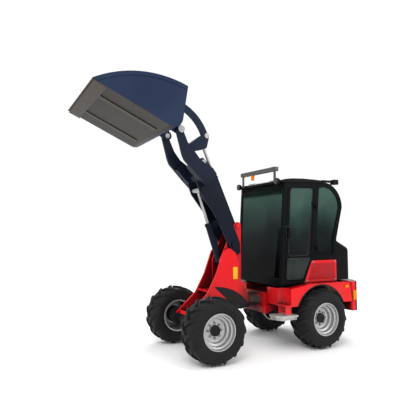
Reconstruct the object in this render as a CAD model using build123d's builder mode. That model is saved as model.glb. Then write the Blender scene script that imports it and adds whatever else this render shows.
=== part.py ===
"""Compact articulated wheel loader with a raised Z-bar boom and a general purpose bucket.

Millimetres. +X points forward, +Y to the driver's left, +Z up, the ground is z = 0.
Lengths below are measured from the articulation axis, and the part's origin lies under
the middle of the whole machine.
"""

import os
from math import cos, hypot, radians, sin

from build123d import *

os.makedirs("parts", exist_ok=True)

# Stance and wheels
WHEELBASE = 1576
TRACK = 1080
TYRE_RADIUS = 380
TYRE_WIDTH = 325
TYRE_SIDES = 20
TYRE_BULGE = 285
BEAD_INSET = 12
LUGS = 14
LUG_WIDTH = 40
LUG_LENGTH = 190
LUG_HEIGHT = 28
LUG_OUT = 72
LUG_SLANT = 38
RIM_SEAT_RADIUS = 200
RIM_FLANGE = 7
RIM_WIDTH = 290
DISC_INSET = 8
HUB_RADIUS = 110
AXLE_TUBE_RADIUS = 62
DIFF_RADIUS = 120

# Running clearances
PIN_CLEARANCE = 0.6
FACE_GAP = 0.5
SWING_GAP = 6
DOOR_GAP = 6

# Chassis
REAR_END = -1550
RAIL_Y = 240
RAIL_THICK = 25
RAIL_TOP = 700
RAIL_BOTTOM = 470
RAIL_DROP = 40
RAIL_RISE = 60
BULKHEAD_X = -170
BULKHEAD_THICK = 30
PIVOT_LUG_RADIUS = 75
PIVOT_PIN_RADIUS = 30
PIVOT_LOW = 500
PIVOT_HIGH = 665
PIVOT_LUG_THICK = 25

# Loader linkage points, forward and up from the articulation axis
BOOM_PIVOT = (237, 1330)
TILT_BASE = (168, 1570)
LIFT_BASE = (385, 1115)
LIFT_EYE = (700, 2030)
LEVER_PIVOT = (700, 2370)
HITCH_PIVOT = (1055, 2740)
LINK_ARM = (-100, 370)

# Loader plates, half widths from the middle plane
TOWER_Y = (85, 105)
CHEEK_Y = (110, 135)
SKIN_Y = (140, 165)
NECK_Y = (200, 240)
HITCH_EAR_Y = (165, 195)
LEVER_Y = (30, 50)
LINK_HALF_WIDTH = 25
BIG_PIN_RADIUS = 32
LIFT_PIN_RADIUS = 25
LINK_PIN_RADIUS = 22
PIN_HEAD = 14
PIN_RIM = 12

# Cylinders
BARREL_EYE = 60
LIFT_BARREL_RADIUS = 45
LIFT_BARREL_LENGTH = 520
LIFT_ROD_RADIUS = 24
LIFT_ROD_LENGTH = 512
TILT_BARREL_RADIUS = 40
TILT_BARREL_LENGTH = 720
TILT_SLEEVE_RADIUS = 30
TILT_SLEEVE_LENGTH = 330
TILT_ROD_RADIUS = 20
TILT_ROD_LENGTH = 620

# Bucket, raised and rolled back
BUCKET_WIDTH = 1300
BUCKET_LIP = (2240, 3050)
BUCKET_HEEL = (1252, 2604)
BUCKET_TOP = (1167, 3127)
BUCKET_CROWN = (1720, 3203)
BUCKET_WALL = 14
BUCKET_SIDE = 14
BUCKET_BAND = 8
HEEL_RADIUS = 110
BAND_WIDTH = 45
EDGE_SETBACK = 22
EDGE_DEPTH = 150
EDGE_THICK = 16
STRIP_Y = 330
STRIP_WIDTH = 70
STRIP_THICK = 12
STRIP_END = 900

# Cab
CAB_HALF_WIDTH = 500
CAB_WALL = 45
CAB_FLOOR = 820
CAB_FRONT_FOOT = -220
CAB_FRONT_TOP = -305
CAB_TOP = 2130
CAB_DECK = 1100
CAB_DECK_X = -700
PANEL_FOOT_X = -600
CAB_BACK_X = -1170
CAB_BULGE_X = -1300
CAB_BULGE_Z = 1830
ROOF_THICK = 70
DOOR_BOTTOM = 865
DOOR_HINGE_X = -815
DOOR_CORNER_RADIUS = 70
WINDOW_CORNER_RADIUS = 50
GLASS = 6
HANDLE = (-340, 1475)
HANDLE_LENGTH = 150
HANDLE_WIDTH = 28
HANDLE_OUT = 30
HANDLE_LEAN = 93.5

# Hood and rear body
HOOD_FRONT = -1190
HOOD_REAR = -1465
HOOD_DROP = 15
HOOD_SLOPE = 120
HOOD_CORNER = 70
HOOD_FLAT = 40
HOOD_EDGE = 40
HOOD_BOTTOM = 835
HOOD_HALF_WIDTH = 455
HOOD_WALL = 12
FENDER_FACE_Y = 605
FENDER_ARCH = 420
FENDER_TOP = 825

# Engine
ENGINE_X = -1030
ENGINE_LOW = 630
ENGINE_SIZE = (520, 380, 420)
ENGINE_FEET_X = (-900, -1200)

# Rear casting, side boxes and steps
CAST_FRONT = -1340
CAST_LOW = 430
CAST_HALF_WIDTH = 600
CAST_SHOULDER = -1440
CAST_BACK_Y = 430
TOW_NOTCH = 110
TOW_LOW = 480
TOW_HIGH = 580
TOW_EAR = 25
TOW_RADIUS = 45
TOW_PIN_RADIUS = 16
FENDER_FRONT = -200
BOX_LOW = 560
STEP_Z = 440
STEP_THICK = 25
STEP_CLEARANCE = 38
STEP_LENGTH = 290
STEP_Y = (430, 640)
STEP_CORNER = (60, 80)
HANGER_Y = (450, 580)

# Hinges, louvres and lamps
HINGE_RADIUS = 12
HINGE_LENGTH = 50
HOOD_HINGES_Y = (300, -200)
# columns: height of the hinge, reach of its strap onto the door
DOOR_HINGES = [(1250, 110), (1800, 62)]
LOUVRES = 7
LOUVRE_LENGTH = 560
GRILLE_PITCH = 30
GRILLE_SLOTS = 7
GRILLE_LENGTH = 330
LIGHT_BAR_Z = 2320
LIGHT_BAR_HALF = 406
BAR_POST_Y = 365
BEACON_Y = -137
BEACON_HEIGHT = 70
WORK_LAMP_Y = 440
REAR_LAMP_X = -1230
REAR_LAMP_Y = 440
REAR_LAMP_SIZE = 70
REAR_ARM = 30

# Cab openings, roof and seat
CAB_ROOF_END = -1000
CAB_WAIST = 1400
PILLAR = 60
ROOF_HALF_WIDTH = 515
ROOF_FRONT = -255
ROOF_CROWN_X = -560
SILL_HEIGHT = 70
HEADER_HEIGHT = 70
DOOR_WINDOW = [(-342, 1200), (-393, 2030), (-750, 2042), (-681, 1200)]
SEAT_HALF_WIDTH = 230
SEAT_BASE = 90
# columns: distance ahead of the deck's front edge, height over the deck
SEAT_SHAPE = [(-20, SEAT_BASE), (-10, 200), (-330, 180), (-400, 690), (-450, 690), (-430, SEAT_BASE)]
COLUMN_X = -360
CONSOLE_HEIGHT = 300
COLUMN_LENGTH = 270
STEERING_WHEEL_RADIUS = 180

# Front frame, boom and hitch
SKIN_LOW = 465
SKIN_SHAPE = [(40, 520), (40, 660), (119, 793), (187, 925), (185, 1100), (240, 1225), (330, 1285),
              (415, 1255), (530, 950), (660, 720), (820, 575), (945, SKIN_LOW), (650, SKIN_LOW), (560, 490)]
NOSE_HOLE = (870, 500)
NOSE_HOLE_RADIUS = 16
DECK_Z = 760
DECK_THICK = 20
DECK_FRONT = 640
NECK_BULKHEAD_X = 130
TOWER_REAR = 120
TOWER_FRONT = 430
WEB_MIDDLE = 475
WEB_LENGTH = 250
LEVER_KNEE = (156, 185)
LINK_BOW = 55
LINK_END_RADIUS = 42
HITCH_LOW = 150
HITCH_HIGH = 480
HITCH_PLATE = 20
HITCH_HALF_WIDTH = 300

FLOOR_RUN = (BUCKET_LIP[0] - BUCKET_HEEL[0], BUCKET_LIP[1] - BUCKET_HEEL[1])
LIP_END = BUCKET_LIP[0] + BUCKET_WALL / 2 * FLOOR_RUN[1] / hypot(*FLOOR_RUN)
PIVOT_X = -(LIP_END + REAR_END) / 2
AXLE_X = WHEELBASE / 2
STEP_REAR = TYRE_RADIUS + STEP_CLEARANCE - AXLE_X
STEP_FRONT = STEP_REAR + STEP_LENGTH
HOOD_TOP = CAB_WAIST - HOOD_DROP
LOUVRE_PITCH = (HOOD_TOP - HOOD_BOTTOM) / 14
WHEEL_Y = TRACK / 2
AXLE_Z = TYRE_RADIUS


def side(y):
    """Upright plane along the machine at y: x forward, height up, extruding to the right."""
    return Plane(origin=(PIVOT_X, y, 0), x_dir=(1, 0, 0), z_dir=(0, -1, 0))


def level(z):
    """Level plane at height z: x forward, y left, extruding up."""
    return Plane(origin=(PIVOT_X, 0, z), x_dir=(1, 0, 0), z_dir=(0, 0, 1))


def station(x):
    """Upright plane across the machine at x: y left, height up, extruding forward."""
    return Plane(origin=(PIVOT_X + x, 0, 0), x_dir=(0, 1, 0), z_dir=(1, 0, 0))


def along(start, end, y=0):
    """Side plane whose x axis runs from one linkage point to another."""
    run = (end[0] - start[0], 0, end[1] - start[1])
    return Plane(origin=at(start[0], y, start[1]), x_dir=run, z_dir=(0, -1, 0))


def at(x, y, z):
    """A place given from the articulation axis."""
    return (PIVOT_X + x, y, z)


def plus(point, step):
    """A linkage point moved by a step."""
    return (point[0] + step[0], point[1] + step[1])


def span(start, end):
    """Distance between two linkage points."""
    return hypot(end[0] - start[0], end[1] - start[1])


def outline(points, radius):
    """Closed side outline with every corner rounded."""
    Polygon(*points, align=None)
    fillet(vertices(), radius)


def cross_pin(point, radius, half_length, mode=Mode.ADD):
    """Round bar across the machine through a linkage point."""
    with Locations(at(point[0], 0, point[1])):
        Cylinder(radius, 2 * half_length, rotation=(90, 0, 0), mode=mode)


def save(piece, name):
    """Label a finished piece and write it."""
    piece.part.label = name
    export_step(piece.part, f"parts/{name}.step")


CYLINDER_ARM = (TILT_BASE[0] - BOOM_PIVOT[0], TILT_BASE[1] - BOOM_PIVOT[1])
CYLINDER_PIN = plus(LEVER_PIVOT, CYLINDER_ARM)
LINK_PIN = plus(LEVER_PIVOT, LINK_ARM)
HITCH_LINK = plus(HITCH_PIVOT, LINK_ARM)

# Wheels: tyres with chevron lugs, on deep-dish steel rims
# columns: name, axle x, side
WHEELS = [
    ("front_left", AXLE_X, 1),
    ("front_right", AXLE_X, -1),
    ("rear_left", -AXLE_X, 1),
    ("rear_right", -AXLE_X, -1),
]
HALF_TYRE = TYRE_WIDTH / 2
HALF_RIM = RIM_WIDTH / 2
CARCASS_RADIUS = TYRE_RADIUS - LUG_HEIGHT
BEAD_OUT = HALF_RIM - BEAD_INSET
# columns: distance out from the wheel's middle plane, radius
CARCASS_HALF = [
    (HALF_TYRE * 0.72, CARCASS_RADIUS),
    (HALF_TYRE * 0.93, CARCASS_RADIUS - 12),
    (HALF_TYRE, TYRE_BULGE + 8),
]
CARCASS = [(-out, radius) for out, radius in reversed(CARCASS_HALF)] + CARCASS_HALF
DISH = [(BEAD_OUT, RIM_SEAT_RADIUS + RIM_FLANGE), (HALF_TYRE, TYRE_BULGE)]
# columns: distance along the lug, height over the lug's root
LUG_SHAPE = [(-0.5, -0.6), (-0.5, 0.74), (0.28, 0.74), (0.5, 0.1), (0.5, -0.9)]
RIM_PROFILE = [
    (-HALF_RIM, RIM_SEAT_RADIUS - 10),
    (-HALF_RIM, RIM_SEAT_RADIUS + RIM_FLANGE),
    (-HALF_RIM + 12, RIM_SEAT_RADIUS + RIM_FLANGE),
    (-HALF_RIM + 12, RIM_SEAT_RADIUS),
    (HALF_RIM - 12, RIM_SEAT_RADIUS),
    (HALF_RIM - 12, RIM_SEAT_RADIUS + RIM_FLANGE),
    (HALF_RIM, RIM_SEAT_RADIUS + RIM_FLANGE),
    (HALF_RIM, RIM_SEAT_RADIUS - 4),
    (114, RIM_SEAT_RADIUS - 14),
    (106, RIM_SEAT_RADIUS - 30),
    (68, RIM_SEAT_RADIUS - 38),
    (60, RIM_SEAT_RADIUS - 60),
    (30, RIM_SEAT_RADIUS - 70),
    (24, RIM_SEAT_RADIUS - 96),
    (24, 66),
    (52, 60),
    (52, 0),
    (DISC_INSET, 0),
    (DISC_INSET, RIM_SEAT_RADIUS - 82),
    (20, RIM_SEAT_RADIUS - 58),
    (46, RIM_SEAT_RADIUS - 50),
    (54, RIM_SEAT_RADIUS - 28),
    (92, RIM_SEAT_RADIUS - 20),
    (98, RIM_SEAT_RADIUS - 10),
]
for name, axle_x, hand in WHEELS:
    wheel_plane = Plane(origin=at(axle_x, hand * WHEEL_Y, AXLE_Z), x_dir=(0, hand, 0), z_dir=(1, 0, 0))
    spindle = Axis(at(axle_x, 0, AXLE_Z), (0, 1, 0))
    tread_planes = []
    for half in (1, -1):
        for lug in range(LUGS):
            turn = radians(360 / LUGS * (lug + (1 - half) / 4))
            up = Vector(sin(turn), 0, cos(turn))
            ahead = Vector(cos(turn), 0, -sin(turn))
            reach = Vector(0, half * cos(radians(LUG_SLANT)), 0) - ahead * sin(radians(LUG_SLANT))
            root = Vector(*at(axle_x, hand * WHEEL_Y + half * LUG_OUT, AXLE_Z)) + up * CARCASS_RADIUS
            tread_planes.append(Plane(root, x_dir=reach, z_dir=reach.cross(up)))
    middle = Plane(origin=at(axle_x, hand * WHEEL_Y, AXLE_Z), x_dir=(1, 0, 0), z_dir=(0, 1, 0))
    with BuildPart() as tyre:
        for out, radius in CARCASS:
            with BuildSketch(middle.offset(out)):
                RegularPolygon(radius, TYRE_SIDES, major_radius=False)
        loft(ruled=True)
        with BuildSketch(*tread_planes):
            Polygon(*[(u * LUG_LENGTH, v * LUG_HEIGHT) for u, v in LUG_SHAPE], align=None)
        extrude(amount=LUG_WIDTH / 2, both=True)
        for half in (1, -1):
            for out, radius in DISH:
                with BuildSketch(middle.offset(half * out)):
                    RegularPolygon(radius, TYRE_SIDES, major_radius=False)
            loft(ruled=True, mode=Mode.SUBTRACT)
        with BuildSketch(middle.offset(-HALF_TYRE)):
            RegularPolygon(RIM_SEAT_RADIUS, TYRE_SIDES, major_radius=False)
        extrude(amount=TYRE_WIDTH, mode=Mode.SUBTRACT)
    save(tyre, f"tyre_{name}")
    with BuildPart() as rim:
        with BuildSketch(wheel_plane):
            with BuildLine():
                Polyline(*[(out, hand * radius) for out, radius in RIM_PROFILE], close=True)
            make_face()
        revolve(axis=spindle)
    save(rim, f"rim_{name}")

# Axles: differential housing, tubes and wheel hubs
SKIN_MIDDLE = (SKIN_Y[0] + SKIN_Y[1]) / 2
# columns: name, axle x, half width of its seats, height of its seats
for name, axle_x, seat_y, seat_z in [
    ("front_axle", AXLE_X, SKIN_MIDDLE, SKIN_LOW),
    ("rear_axle", -AXLE_X, RAIL_Y - RAIL_THICK / 2, RAIL_BOTTOM),
]:
    hub_end = WHEEL_Y + DISC_INSET - FACE_GAP
    with BuildPart() as axle:
        with Locations(at(axle_x, 0, AXLE_Z)):
            Cylinder(AXLE_TUBE_RADIUS, 2 * hub_end, rotation=(90, 0, 0))
            Cylinder(DIFF_RADIUS, 190, rotation=(90, 0, 0))
        for hand in (1, -1):
            with Locations(at(axle_x, hand * (hub_end - 60), AXLE_Z)):
                Cylinder(HUB_RADIUS, 120, rotation=(90, 0, 0))
            with Locations(at(axle_x, hand * seat_y, (AXLE_Z + seat_z) / 2)):
                Box(150, 60, seat_z - AXLE_Z)
    save(axle, name)

# Rear frame: two rails, a bulkhead and the pivot lugs
with BuildPart() as rear_frame:
    with BuildSketch(side(RAIL_Y)):
        outline([(BULKHEAD_X, RAIL_BOTTOM - RAIL_DROP), (BULKHEAD_X, RAIL_TOP), (CAST_FRONT, RAIL_TOP),
                 (CAST_FRONT, RAIL_BOTTOM + RAIL_RISE), (CAST_FRONT + 4 * RAIL_RISE, RAIL_BOTTOM),
                 (BULKHEAD_X - 3 * RAIL_DROP, RAIL_BOTTOM)], 15)
    extrude(amount=RAIL_THICK)
    mirror(about=Plane.XZ)
    with BuildSketch(station(BULKHEAD_X - BULKHEAD_THICK)):
        with Locations((0, (RAIL_TOP + RAIL_BOTTOM - RAIL_DROP) / 2)):
            Rectangle(2 * RAIL_Y, RAIL_TOP - RAIL_BOTTOM + RAIL_DROP)
    extrude(amount=BULKHEAD_THICK)
    with BuildSketch(station(CAST_FRONT + 20)):
        with Locations((0, RAIL_TOP - RAIL_RISE)):
            Rectangle(2 * RAIL_Y, 2 * RAIL_RISE)
    extrude(amount=20)
    for lug_z in (PIVOT_LOW, PIVOT_HIGH - PIVOT_LUG_THICK):
        with BuildSketch(level(lug_z)):
            with Locations((0, 0)):
                Circle(PIVOT_LUG_RADIUS)
            with Locations((BULKHEAD_X, 0)):
                Rectangle(20, 260)
            make_hull()
            with Locations((0, 0)):
                Circle(PIVOT_PIN_RADIUS + PIN_CLEARANCE, mode=Mode.SUBTRACT)
        extrude(amount=PIVOT_LUG_THICK)
save(rear_frame, "rear_frame")

with BuildPart() as articulation_pin:
    with BuildSketch(level(PIVOT_LOW - 25)):
        Circle(PIVOT_PIN_RADIUS)
    extrude(amount=PIVOT_HIGH - PIVOT_LOW + 25)
    with BuildSketch(level(PIVOT_HIGH)):
        Circle(PIVOT_PIN_RADIUS + 18)
    extrude(amount=14)
save(articulation_pin, "articulation_pin")

# Engine, one plain block under the seat deck and hood
with BuildPart() as engine:
    with Locations(at(ENGINE_X, 0, ENGINE_LOW + ENGINE_SIZE[2] / 2)):
        Box(*ENGINE_SIZE)
    for foot_x in ENGINE_FEET_X:
        with Locations(at(foot_x, 0, ENGINE_LOW + 10)):
            Box(80, 2 * (RAIL_Y - RAIL_THICK), 60)
save(engine, "engine_block")

# Counterweight: a cast block rounded in plan, notched behind for a tow clevis
CAST_TOP = HOOD_BOTTOM - 15
with BuildPart() as counterweight:
    with BuildSketch(level(CAST_LOW)):
        outline([(CAST_FRONT, CAST_HALF_WIDTH), (CAST_SHOULDER, CAST_HALF_WIDTH), (REAR_END, CAST_BACK_Y),
                 (REAR_END, -CAST_BACK_Y), (CAST_SHOULDER, -CAST_HALF_WIDTH),
                 (CAST_FRONT, -CAST_HALF_WIDTH)], 40)
        with Locations((REAR_END, 0)):
            Rectangle(2 * TOW_NOTCH, 2 * TOW_NOTCH, mode=Mode.SUBTRACT)
    extrude(amount=CAST_TOP - CAST_LOW)
    for ear_z in (TOW_LOW, TOW_HIGH - TOW_EAR):
        with BuildSketch(level(ear_z)):
            with Locations((REAR_END + TOW_RADIUS, 0)):
                Circle(TOW_RADIUS)
            with Locations((REAR_END + TOW_NOTCH, 0)):
                Rectangle(20, 2 * TOW_NOTCH)
            make_hull()
            with Locations((REAR_END + TOW_RADIUS, 0)):
                Circle(TOW_PIN_RADIUS, mode=Mode.SUBTRACT)
        extrude(amount=TOW_EAR)
save(counterweight, "counterweight")

# Rear fenders: side boxes ahead of the wheels that run back over the tyres
with BuildPart() as fenders:
    # columns: outer face, inner face, height of the top
    for outer_y, inner_y, top_z in [
        (FENDER_FACE_Y, CAB_HALF_WIDTH + 5, FENDER_TOP),
        (CAB_HALF_WIDTH + 5, RAIL_Y, CAB_FLOOR - 25),
    ]:
        with BuildSketch(side(outer_y)):
            outline([(FENDER_FRONT, BOX_LOW), (FENDER_FRONT, CAB_FLOOR - 45),
                     (FENDER_FRONT - 140, CAB_FLOOR - 35), (PANEL_FOOT_X, top_z),
                     (CAST_FRONT + 40, top_z - 5), (CAST_FRONT, BOX_LOW)], 14)
            with Locations((-AXLE_X, AXLE_Z)):
                Circle(FENDER_ARCH, mode=Mode.SUBTRACT)
        extrude(amount=outer_y - inner_y)
    mirror(about=Plane.XZ)
save(fenders, "rear_fenders")

# Steps hung under the side boxes
with BuildPart() as steps:
    with BuildSketch(level(STEP_Z)):
        with BuildLine():
            Polyline((STEP_REAR, STEP_Y[0]), (STEP_REAR, STEP_Y[1]), (STEP_FRONT - STEP_CORNER[0], STEP_Y[1]),
                     (STEP_FRONT, STEP_Y[1] - STEP_CORNER[1]), (STEP_FRONT, STEP_Y[0]), close=True)
        make_face()
    extrude(amount=STEP_THICK)
    for hanger_y in HANGER_Y:
        with BuildSketch(side(hanger_y)):
            with Locations(((STEP_REAR + FENDER_FRONT) / 2 + 20, (STEP_Z + STEP_THICK + BOX_LOW) / 2)):
                Rectangle(90, BOX_LOW - STEP_Z - STEP_THICK)
        extrude(amount=12)
    mirror(about=Plane.XZ)
save(steps, "steps")

# Tail lamps on the casting's flanks and side markers on the fenders
with BuildPart() as tail_lamps:
    with BuildSketch(side(CAST_HALF_WIDTH + 14)):
        with Locations((CAST_FRONT - 50, 640)):
            RectangleRounded(60, 130, 12)
    extrude(amount=14)
    mirror(about=Plane.XZ)
save(tail_lamps, "tail_lamps")

with BuildPart() as side_markers:
    with BuildSketch(side(FENDER_FACE_Y + 10)):
        with Locations((CAST_FRONT + 100, FENDER_TOP - 60)):
            RectangleRounded(60, 36, 8)
    extrude(amount=10)
    mirror(about=Plane.XZ)
save(side_markers, "side_markers")

# Hood: a thin cover, open at the front and below, with a louvred back
HOOD_SHAPE = [(HOOD_FRONT, HOOD_BOTTOM), (HOOD_FRONT, HOOD_TOP), (HOOD_FRONT - HOOD_FLAT, HOOD_TOP),
              (HOOD_REAR, HOOD_TOP - HOOD_SLOPE), (HOOD_REAR, HOOD_BOTTOM)]
HOOD_HINGE = (HOOD_FRONT - 4, HOOD_TOP + HINGE_RADIUS + 1)
with BuildPart() as hood:
    with BuildSketch(side(HOOD_HALF_WIDTH)):
        with BuildLine():
            Polyline(*HOOD_SHAPE, close=True)
        make_face()
        fillet(vertices().sort_by(Axis.X)[:2].sort_by(Axis.Y)[-1:], HOOD_CORNER)
    extrude(amount=2 * HOOD_HALF_WIDTH)
    flanks = faces().sort_by(Axis.Y)
    rims = flanks[0].edges() + flanks[-1].edges()
    fillet(rims.filter_by_position(Axis.Z, HOOD_BOTTOM + 1, HOOD_TOP - HOOD_SLOPE / 2)
           .filter_by_position(Axis.X, PIVOT_X + HOOD_REAR - 1, PIVOT_X + HOOD_FRONT - 1), HOOD_EDGE)
    offset(amount=-HOOD_WALL, openings=[faces().sort_by(Axis.X)[-1], faces().sort_by(Axis.Z)[0]])
    with BuildSketch(station(HOOD_REAR - 1)):
        with Locations((0, HOOD_BOTTOM + LOUVRE_PITCH * (LOUVRES + 2) / 2)):
            with GridLocations(0, LOUVRE_PITCH, 1, LOUVRES):
                SlotOverall(LOUVRE_LENGTH, LOUVRE_PITCH * 0.55)
    extrude(amount=HOOD_WALL + 2, mode=Mode.SUBTRACT)
    for hinge_y in HOOD_HINGES_Y:
        with BuildSketch(side(hinge_y)):
            with Locations(HOOD_HINGE):
                Circle(HINGE_RADIUS)
            with Locations((HOOD_HINGE[0] - 12, HOOD_TOP)):
                Rectangle(24, 4)
            make_hull()
        extrude(amount=HINGE_LENGTH)
save(hood, "hood")

# Cab floor: a footwell and a raised seat deck on four rubber mounts
with BuildPart() as cab_floor:
    with BuildSketch(side(CAB_HALF_WIDTH - CAB_WALL)):
        with BuildLine():
            Polyline((CAB_FRONT_FOOT, CAB_FLOOR - 20), (CAB_FRONT_FOOT, CAB_FLOOR), (CAB_DECK_X, CAB_FLOOR),
                     (CAB_DECK_X, CAB_DECK), (CAB_BACK_X, CAB_DECK), (CAB_BACK_X, CAB_DECK - 20),
                     (CAB_DECK_X - 20, CAB_DECK - 20), (CAB_DECK_X - 20, CAB_FLOOR - 20), close=True)
        make_face()
    extrude(amount=2 * (CAB_HALF_WIDTH - CAB_WALL))
    for mount_x in (CAB_FRONT_FOOT - 80, CAB_DECK_X + 40):
        for hand in (1, -1):
            with Locations(at(mount_x, hand * (RAIL_Y - RAIL_THICK / 2), (RAIL_TOP + CAB_FLOOR - 20) / 2)):
                Cylinder(RAIL_THICK / 2, CAB_FLOOR - 20 - RAIL_TOP)
save(cab_floor, "cab_floor")

# Cab sides: one frame each way with a door opening and a quarter window
SILL = CAB_FLOOR + 10
PANEL_TOP = CAB_DECK + 15
DOOR_CORNER = (CAB_DECK_X - 35, PANEL_TOP)
PANEL_FOOT = (PANEL_FOOT_X, SILL)
DOOR_OPENING = [(CAB_FRONT_FOOT - 58, DOOR_BOTTOM), (CAB_FRONT_TOP - 48, CAB_TOP - 55),
                (DOOR_HINGE_X + 15, CAB_TOP - 40), (DOOR_CORNER[0] + 13, PANEL_TOP + 20),
                (PANEL_FOOT[0] + 8, DOOR_BOTTOM)]
WINDOW_SILL = 1200


def cab_back_curve(inset):
    """Rear edge of the cab from the roof down to the deck, moved in by an inset."""
    roof_end = (CAB_ROOF_END + inset * 0.4, CAB_TOP + 35 - inset)
    bulge = (CAB_BULGE_X + inset, CAB_BULGE_Z)
    waist = (CAB_BACK_X - 12 + inset, CAB_WAIST)
    ThreePointArc(roof_end, (CAB_BULGE_X + 75 + inset * 0.8, CAB_BULGE_Z + 215 - inset * 0.6), bulge)
    ThreePointArc(bulge, (CAB_BULGE_X + 60 + inset, (CAB_BULGE_Z + CAB_WAIST) / 2), waist)


# columns: name, hand
for name, hand in [("left", 1), ("right", -1)]:
    with BuildPart() as cab_side:
        with BuildSketch(side(CAB_HALF_WIDTH)):
            with BuildLine():
                cab_back_curve(0)
                Polyline((CAB_BACK_X - 12, CAB_WAIST), (CAB_BACK_X, PANEL_TOP), DOOR_CORNER, PANEL_FOOT,
                         (CAB_FRONT_FOOT, SILL), (CAB_FRONT_TOP, CAB_TOP), (CAB_ROOF_END, CAB_TOP + 35))
            make_face()
            with BuildLine():
                FilletPolyline(*DOOR_OPENING, radius=DOOR_CORNER_RADIUS, close=True)
            make_face(mode=Mode.SUBTRACT)
            with BuildLine():
                cab_back_curve(PILLAR)
                Polyline((CAB_BACK_X - 12 + PILLAR, CAB_WAIST), (CAB_BACK_X + 45, WINDOW_SILL),
                         (DOOR_CORNER[0] - 75, WINDOW_SILL), (DOOR_HINGE_X - 70, CAB_TOP - 45),
                         (CAB_ROOF_END + PILLAR * 0.4, CAB_TOP + 35 - PILLAR))
            make_face(mode=Mode.SUBTRACT)
        extrude(amount=CAB_WALL)
        for hinge_z, reach in DOOR_HINGES:
            with BuildSketch(level(hinge_z)):
                with Locations((DOOR_HINGE_X, CAB_HALF_WIDTH + HINGE_RADIUS + 1)):
                    Circle(HINGE_RADIUS)
                with Locations((DOOR_HINGE_X - 10, CAB_HALF_WIDTH)):
                    Rectangle(20, 4)
                make_hull()
            extrude(amount=HINGE_LENGTH)
        if hand < 0:
            mirror(about=Plane.XZ, mode=Mode.REPLACE)
    save(cab_side, f"cab_side_{name}")

    with BuildPart() as door:
        with BuildSketch(side(CAB_HALF_WIDTH)):
            with BuildLine():
                FilletPolyline(*DOOR_OPENING, radius=DOOR_CORNER_RADIUS, close=True)
            make_face()
            offset(amount=-DOOR_GAP, kind=Kind.INTERSECTION, mode=Mode.REPLACE)
            with BuildLine():
                FilletPolyline(*DOOR_WINDOW, radius=WINDOW_CORNER_RADIUS, close=True)
            make_face(mode=Mode.SUBTRACT)
        extrude(amount=CAB_WALL - 5)
        with BuildSketch(side(CAB_HALF_WIDTH + HANDLE_OUT)):
            with Locations(HANDLE):
                SlotOverall(HANDLE_LENGTH, HANDLE_WIDTH, rotation=HANDLE_LEAN)
        extrude(amount=HANDLE_OUT)
        for hinge_z, reach in DOOR_HINGES:
            with BuildSketch(level(hinge_z + HINGE_LENGTH + FACE_GAP)):
                with Locations((DOOR_HINGE_X, CAB_HALF_WIDTH + HINGE_RADIUS + 1)):
                    Circle(HINGE_RADIUS)
                with Locations((DOOR_HINGE_X + reach, CAB_HALF_WIDTH + 4)):
                    Rectangle(20, 6)
                make_hull()
                with Locations((DOOR_HINGE_X + reach, CAB_HALF_WIDTH)):
                    Rectangle(20, 12)
            extrude(amount=HINGE_LENGTH)
        if hand < 0:
            mirror(about=Plane.XZ, mode=Mode.REPLACE)
    save(door, f"door_{name}")

    with BuildPart() as door_glass:
        with BuildSketch(side(CAB_HALF_WIDTH - 15)):
            with BuildLine():
                FilletPolyline(*DOOR_WINDOW, radius=WINDOW_CORNER_RADIUS, close=True)
            make_face()
        extrude(amount=GLASS)
        if hand < 0:
            mirror(about=Plane.XZ, mode=Mode.REPLACE)
    save(door_glass, f"door_glass_{name}")

# Quarter windows behind the doors
with BuildPart() as quarter_glass:
    with BuildSketch(side(CAB_HALF_WIDTH - 15)):
        with BuildLine():
            cab_back_curve(PILLAR)
            Polyline((CAB_BACK_X - 12 + PILLAR, CAB_WAIST), (CAB_BACK_X + 45, WINDOW_SILL),
                     (DOOR_CORNER[0] - 75, WINDOW_SILL), (DOOR_HINGE_X - 70, CAB_TOP - 45),
                     (CAB_ROOF_END + PILLAR * 0.4, CAB_TOP + 35 - PILLAR))
        make_face()
    extrude(amount=GLASS)
    mirror(about=Plane.XZ)
save(quarter_glass, "quarter_glass")

# Cab front: a sill and a header between the side frames, with the windshield
CAB_INNER_WIDTH = 2 * (CAB_HALF_WIDTH - CAB_WALL)
FRONT_SLOPE = (CAB_FRONT_TOP - CAB_FRONT_FOOT) / (CAB_TOP - SILL)


def front_x(z):
    """Front face of the cab at a height."""
    return CAB_FRONT_FOOT + (z - SILL) * FRONT_SLOPE


def front_strip(low, high, inset, thick):
    """Side outline of a strip of the raked cab front."""
    Polygon((front_x(low) - inset, low), (front_x(high) - inset, high), (front_x(high) - inset - thick, high),
            (front_x(low) - inset - thick, low), align=None)


with BuildPart() as cab_front:
    for low, high in [(CAB_FLOOR, SILL + SILL_HEIGHT), (CAB_TOP - HEADER_HEIGHT, CAB_TOP)]:
        with BuildSketch(side(CAB_INNER_WIDTH / 2)):
            front_strip(low, high, 0, 40)
        extrude(amount=CAB_INNER_WIDTH)
save(cab_front, "cab_front")

with BuildPart() as windshield:
    with BuildSketch(side(CAB_INNER_WIDTH / 2)):
        front_strip(SILL + SILL_HEIGHT, CAB_TOP - HEADER_HEIGHT, 12, GLASS)
    extrude(amount=CAB_INNER_WIDTH)
save(windshield, "windshield")

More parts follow.
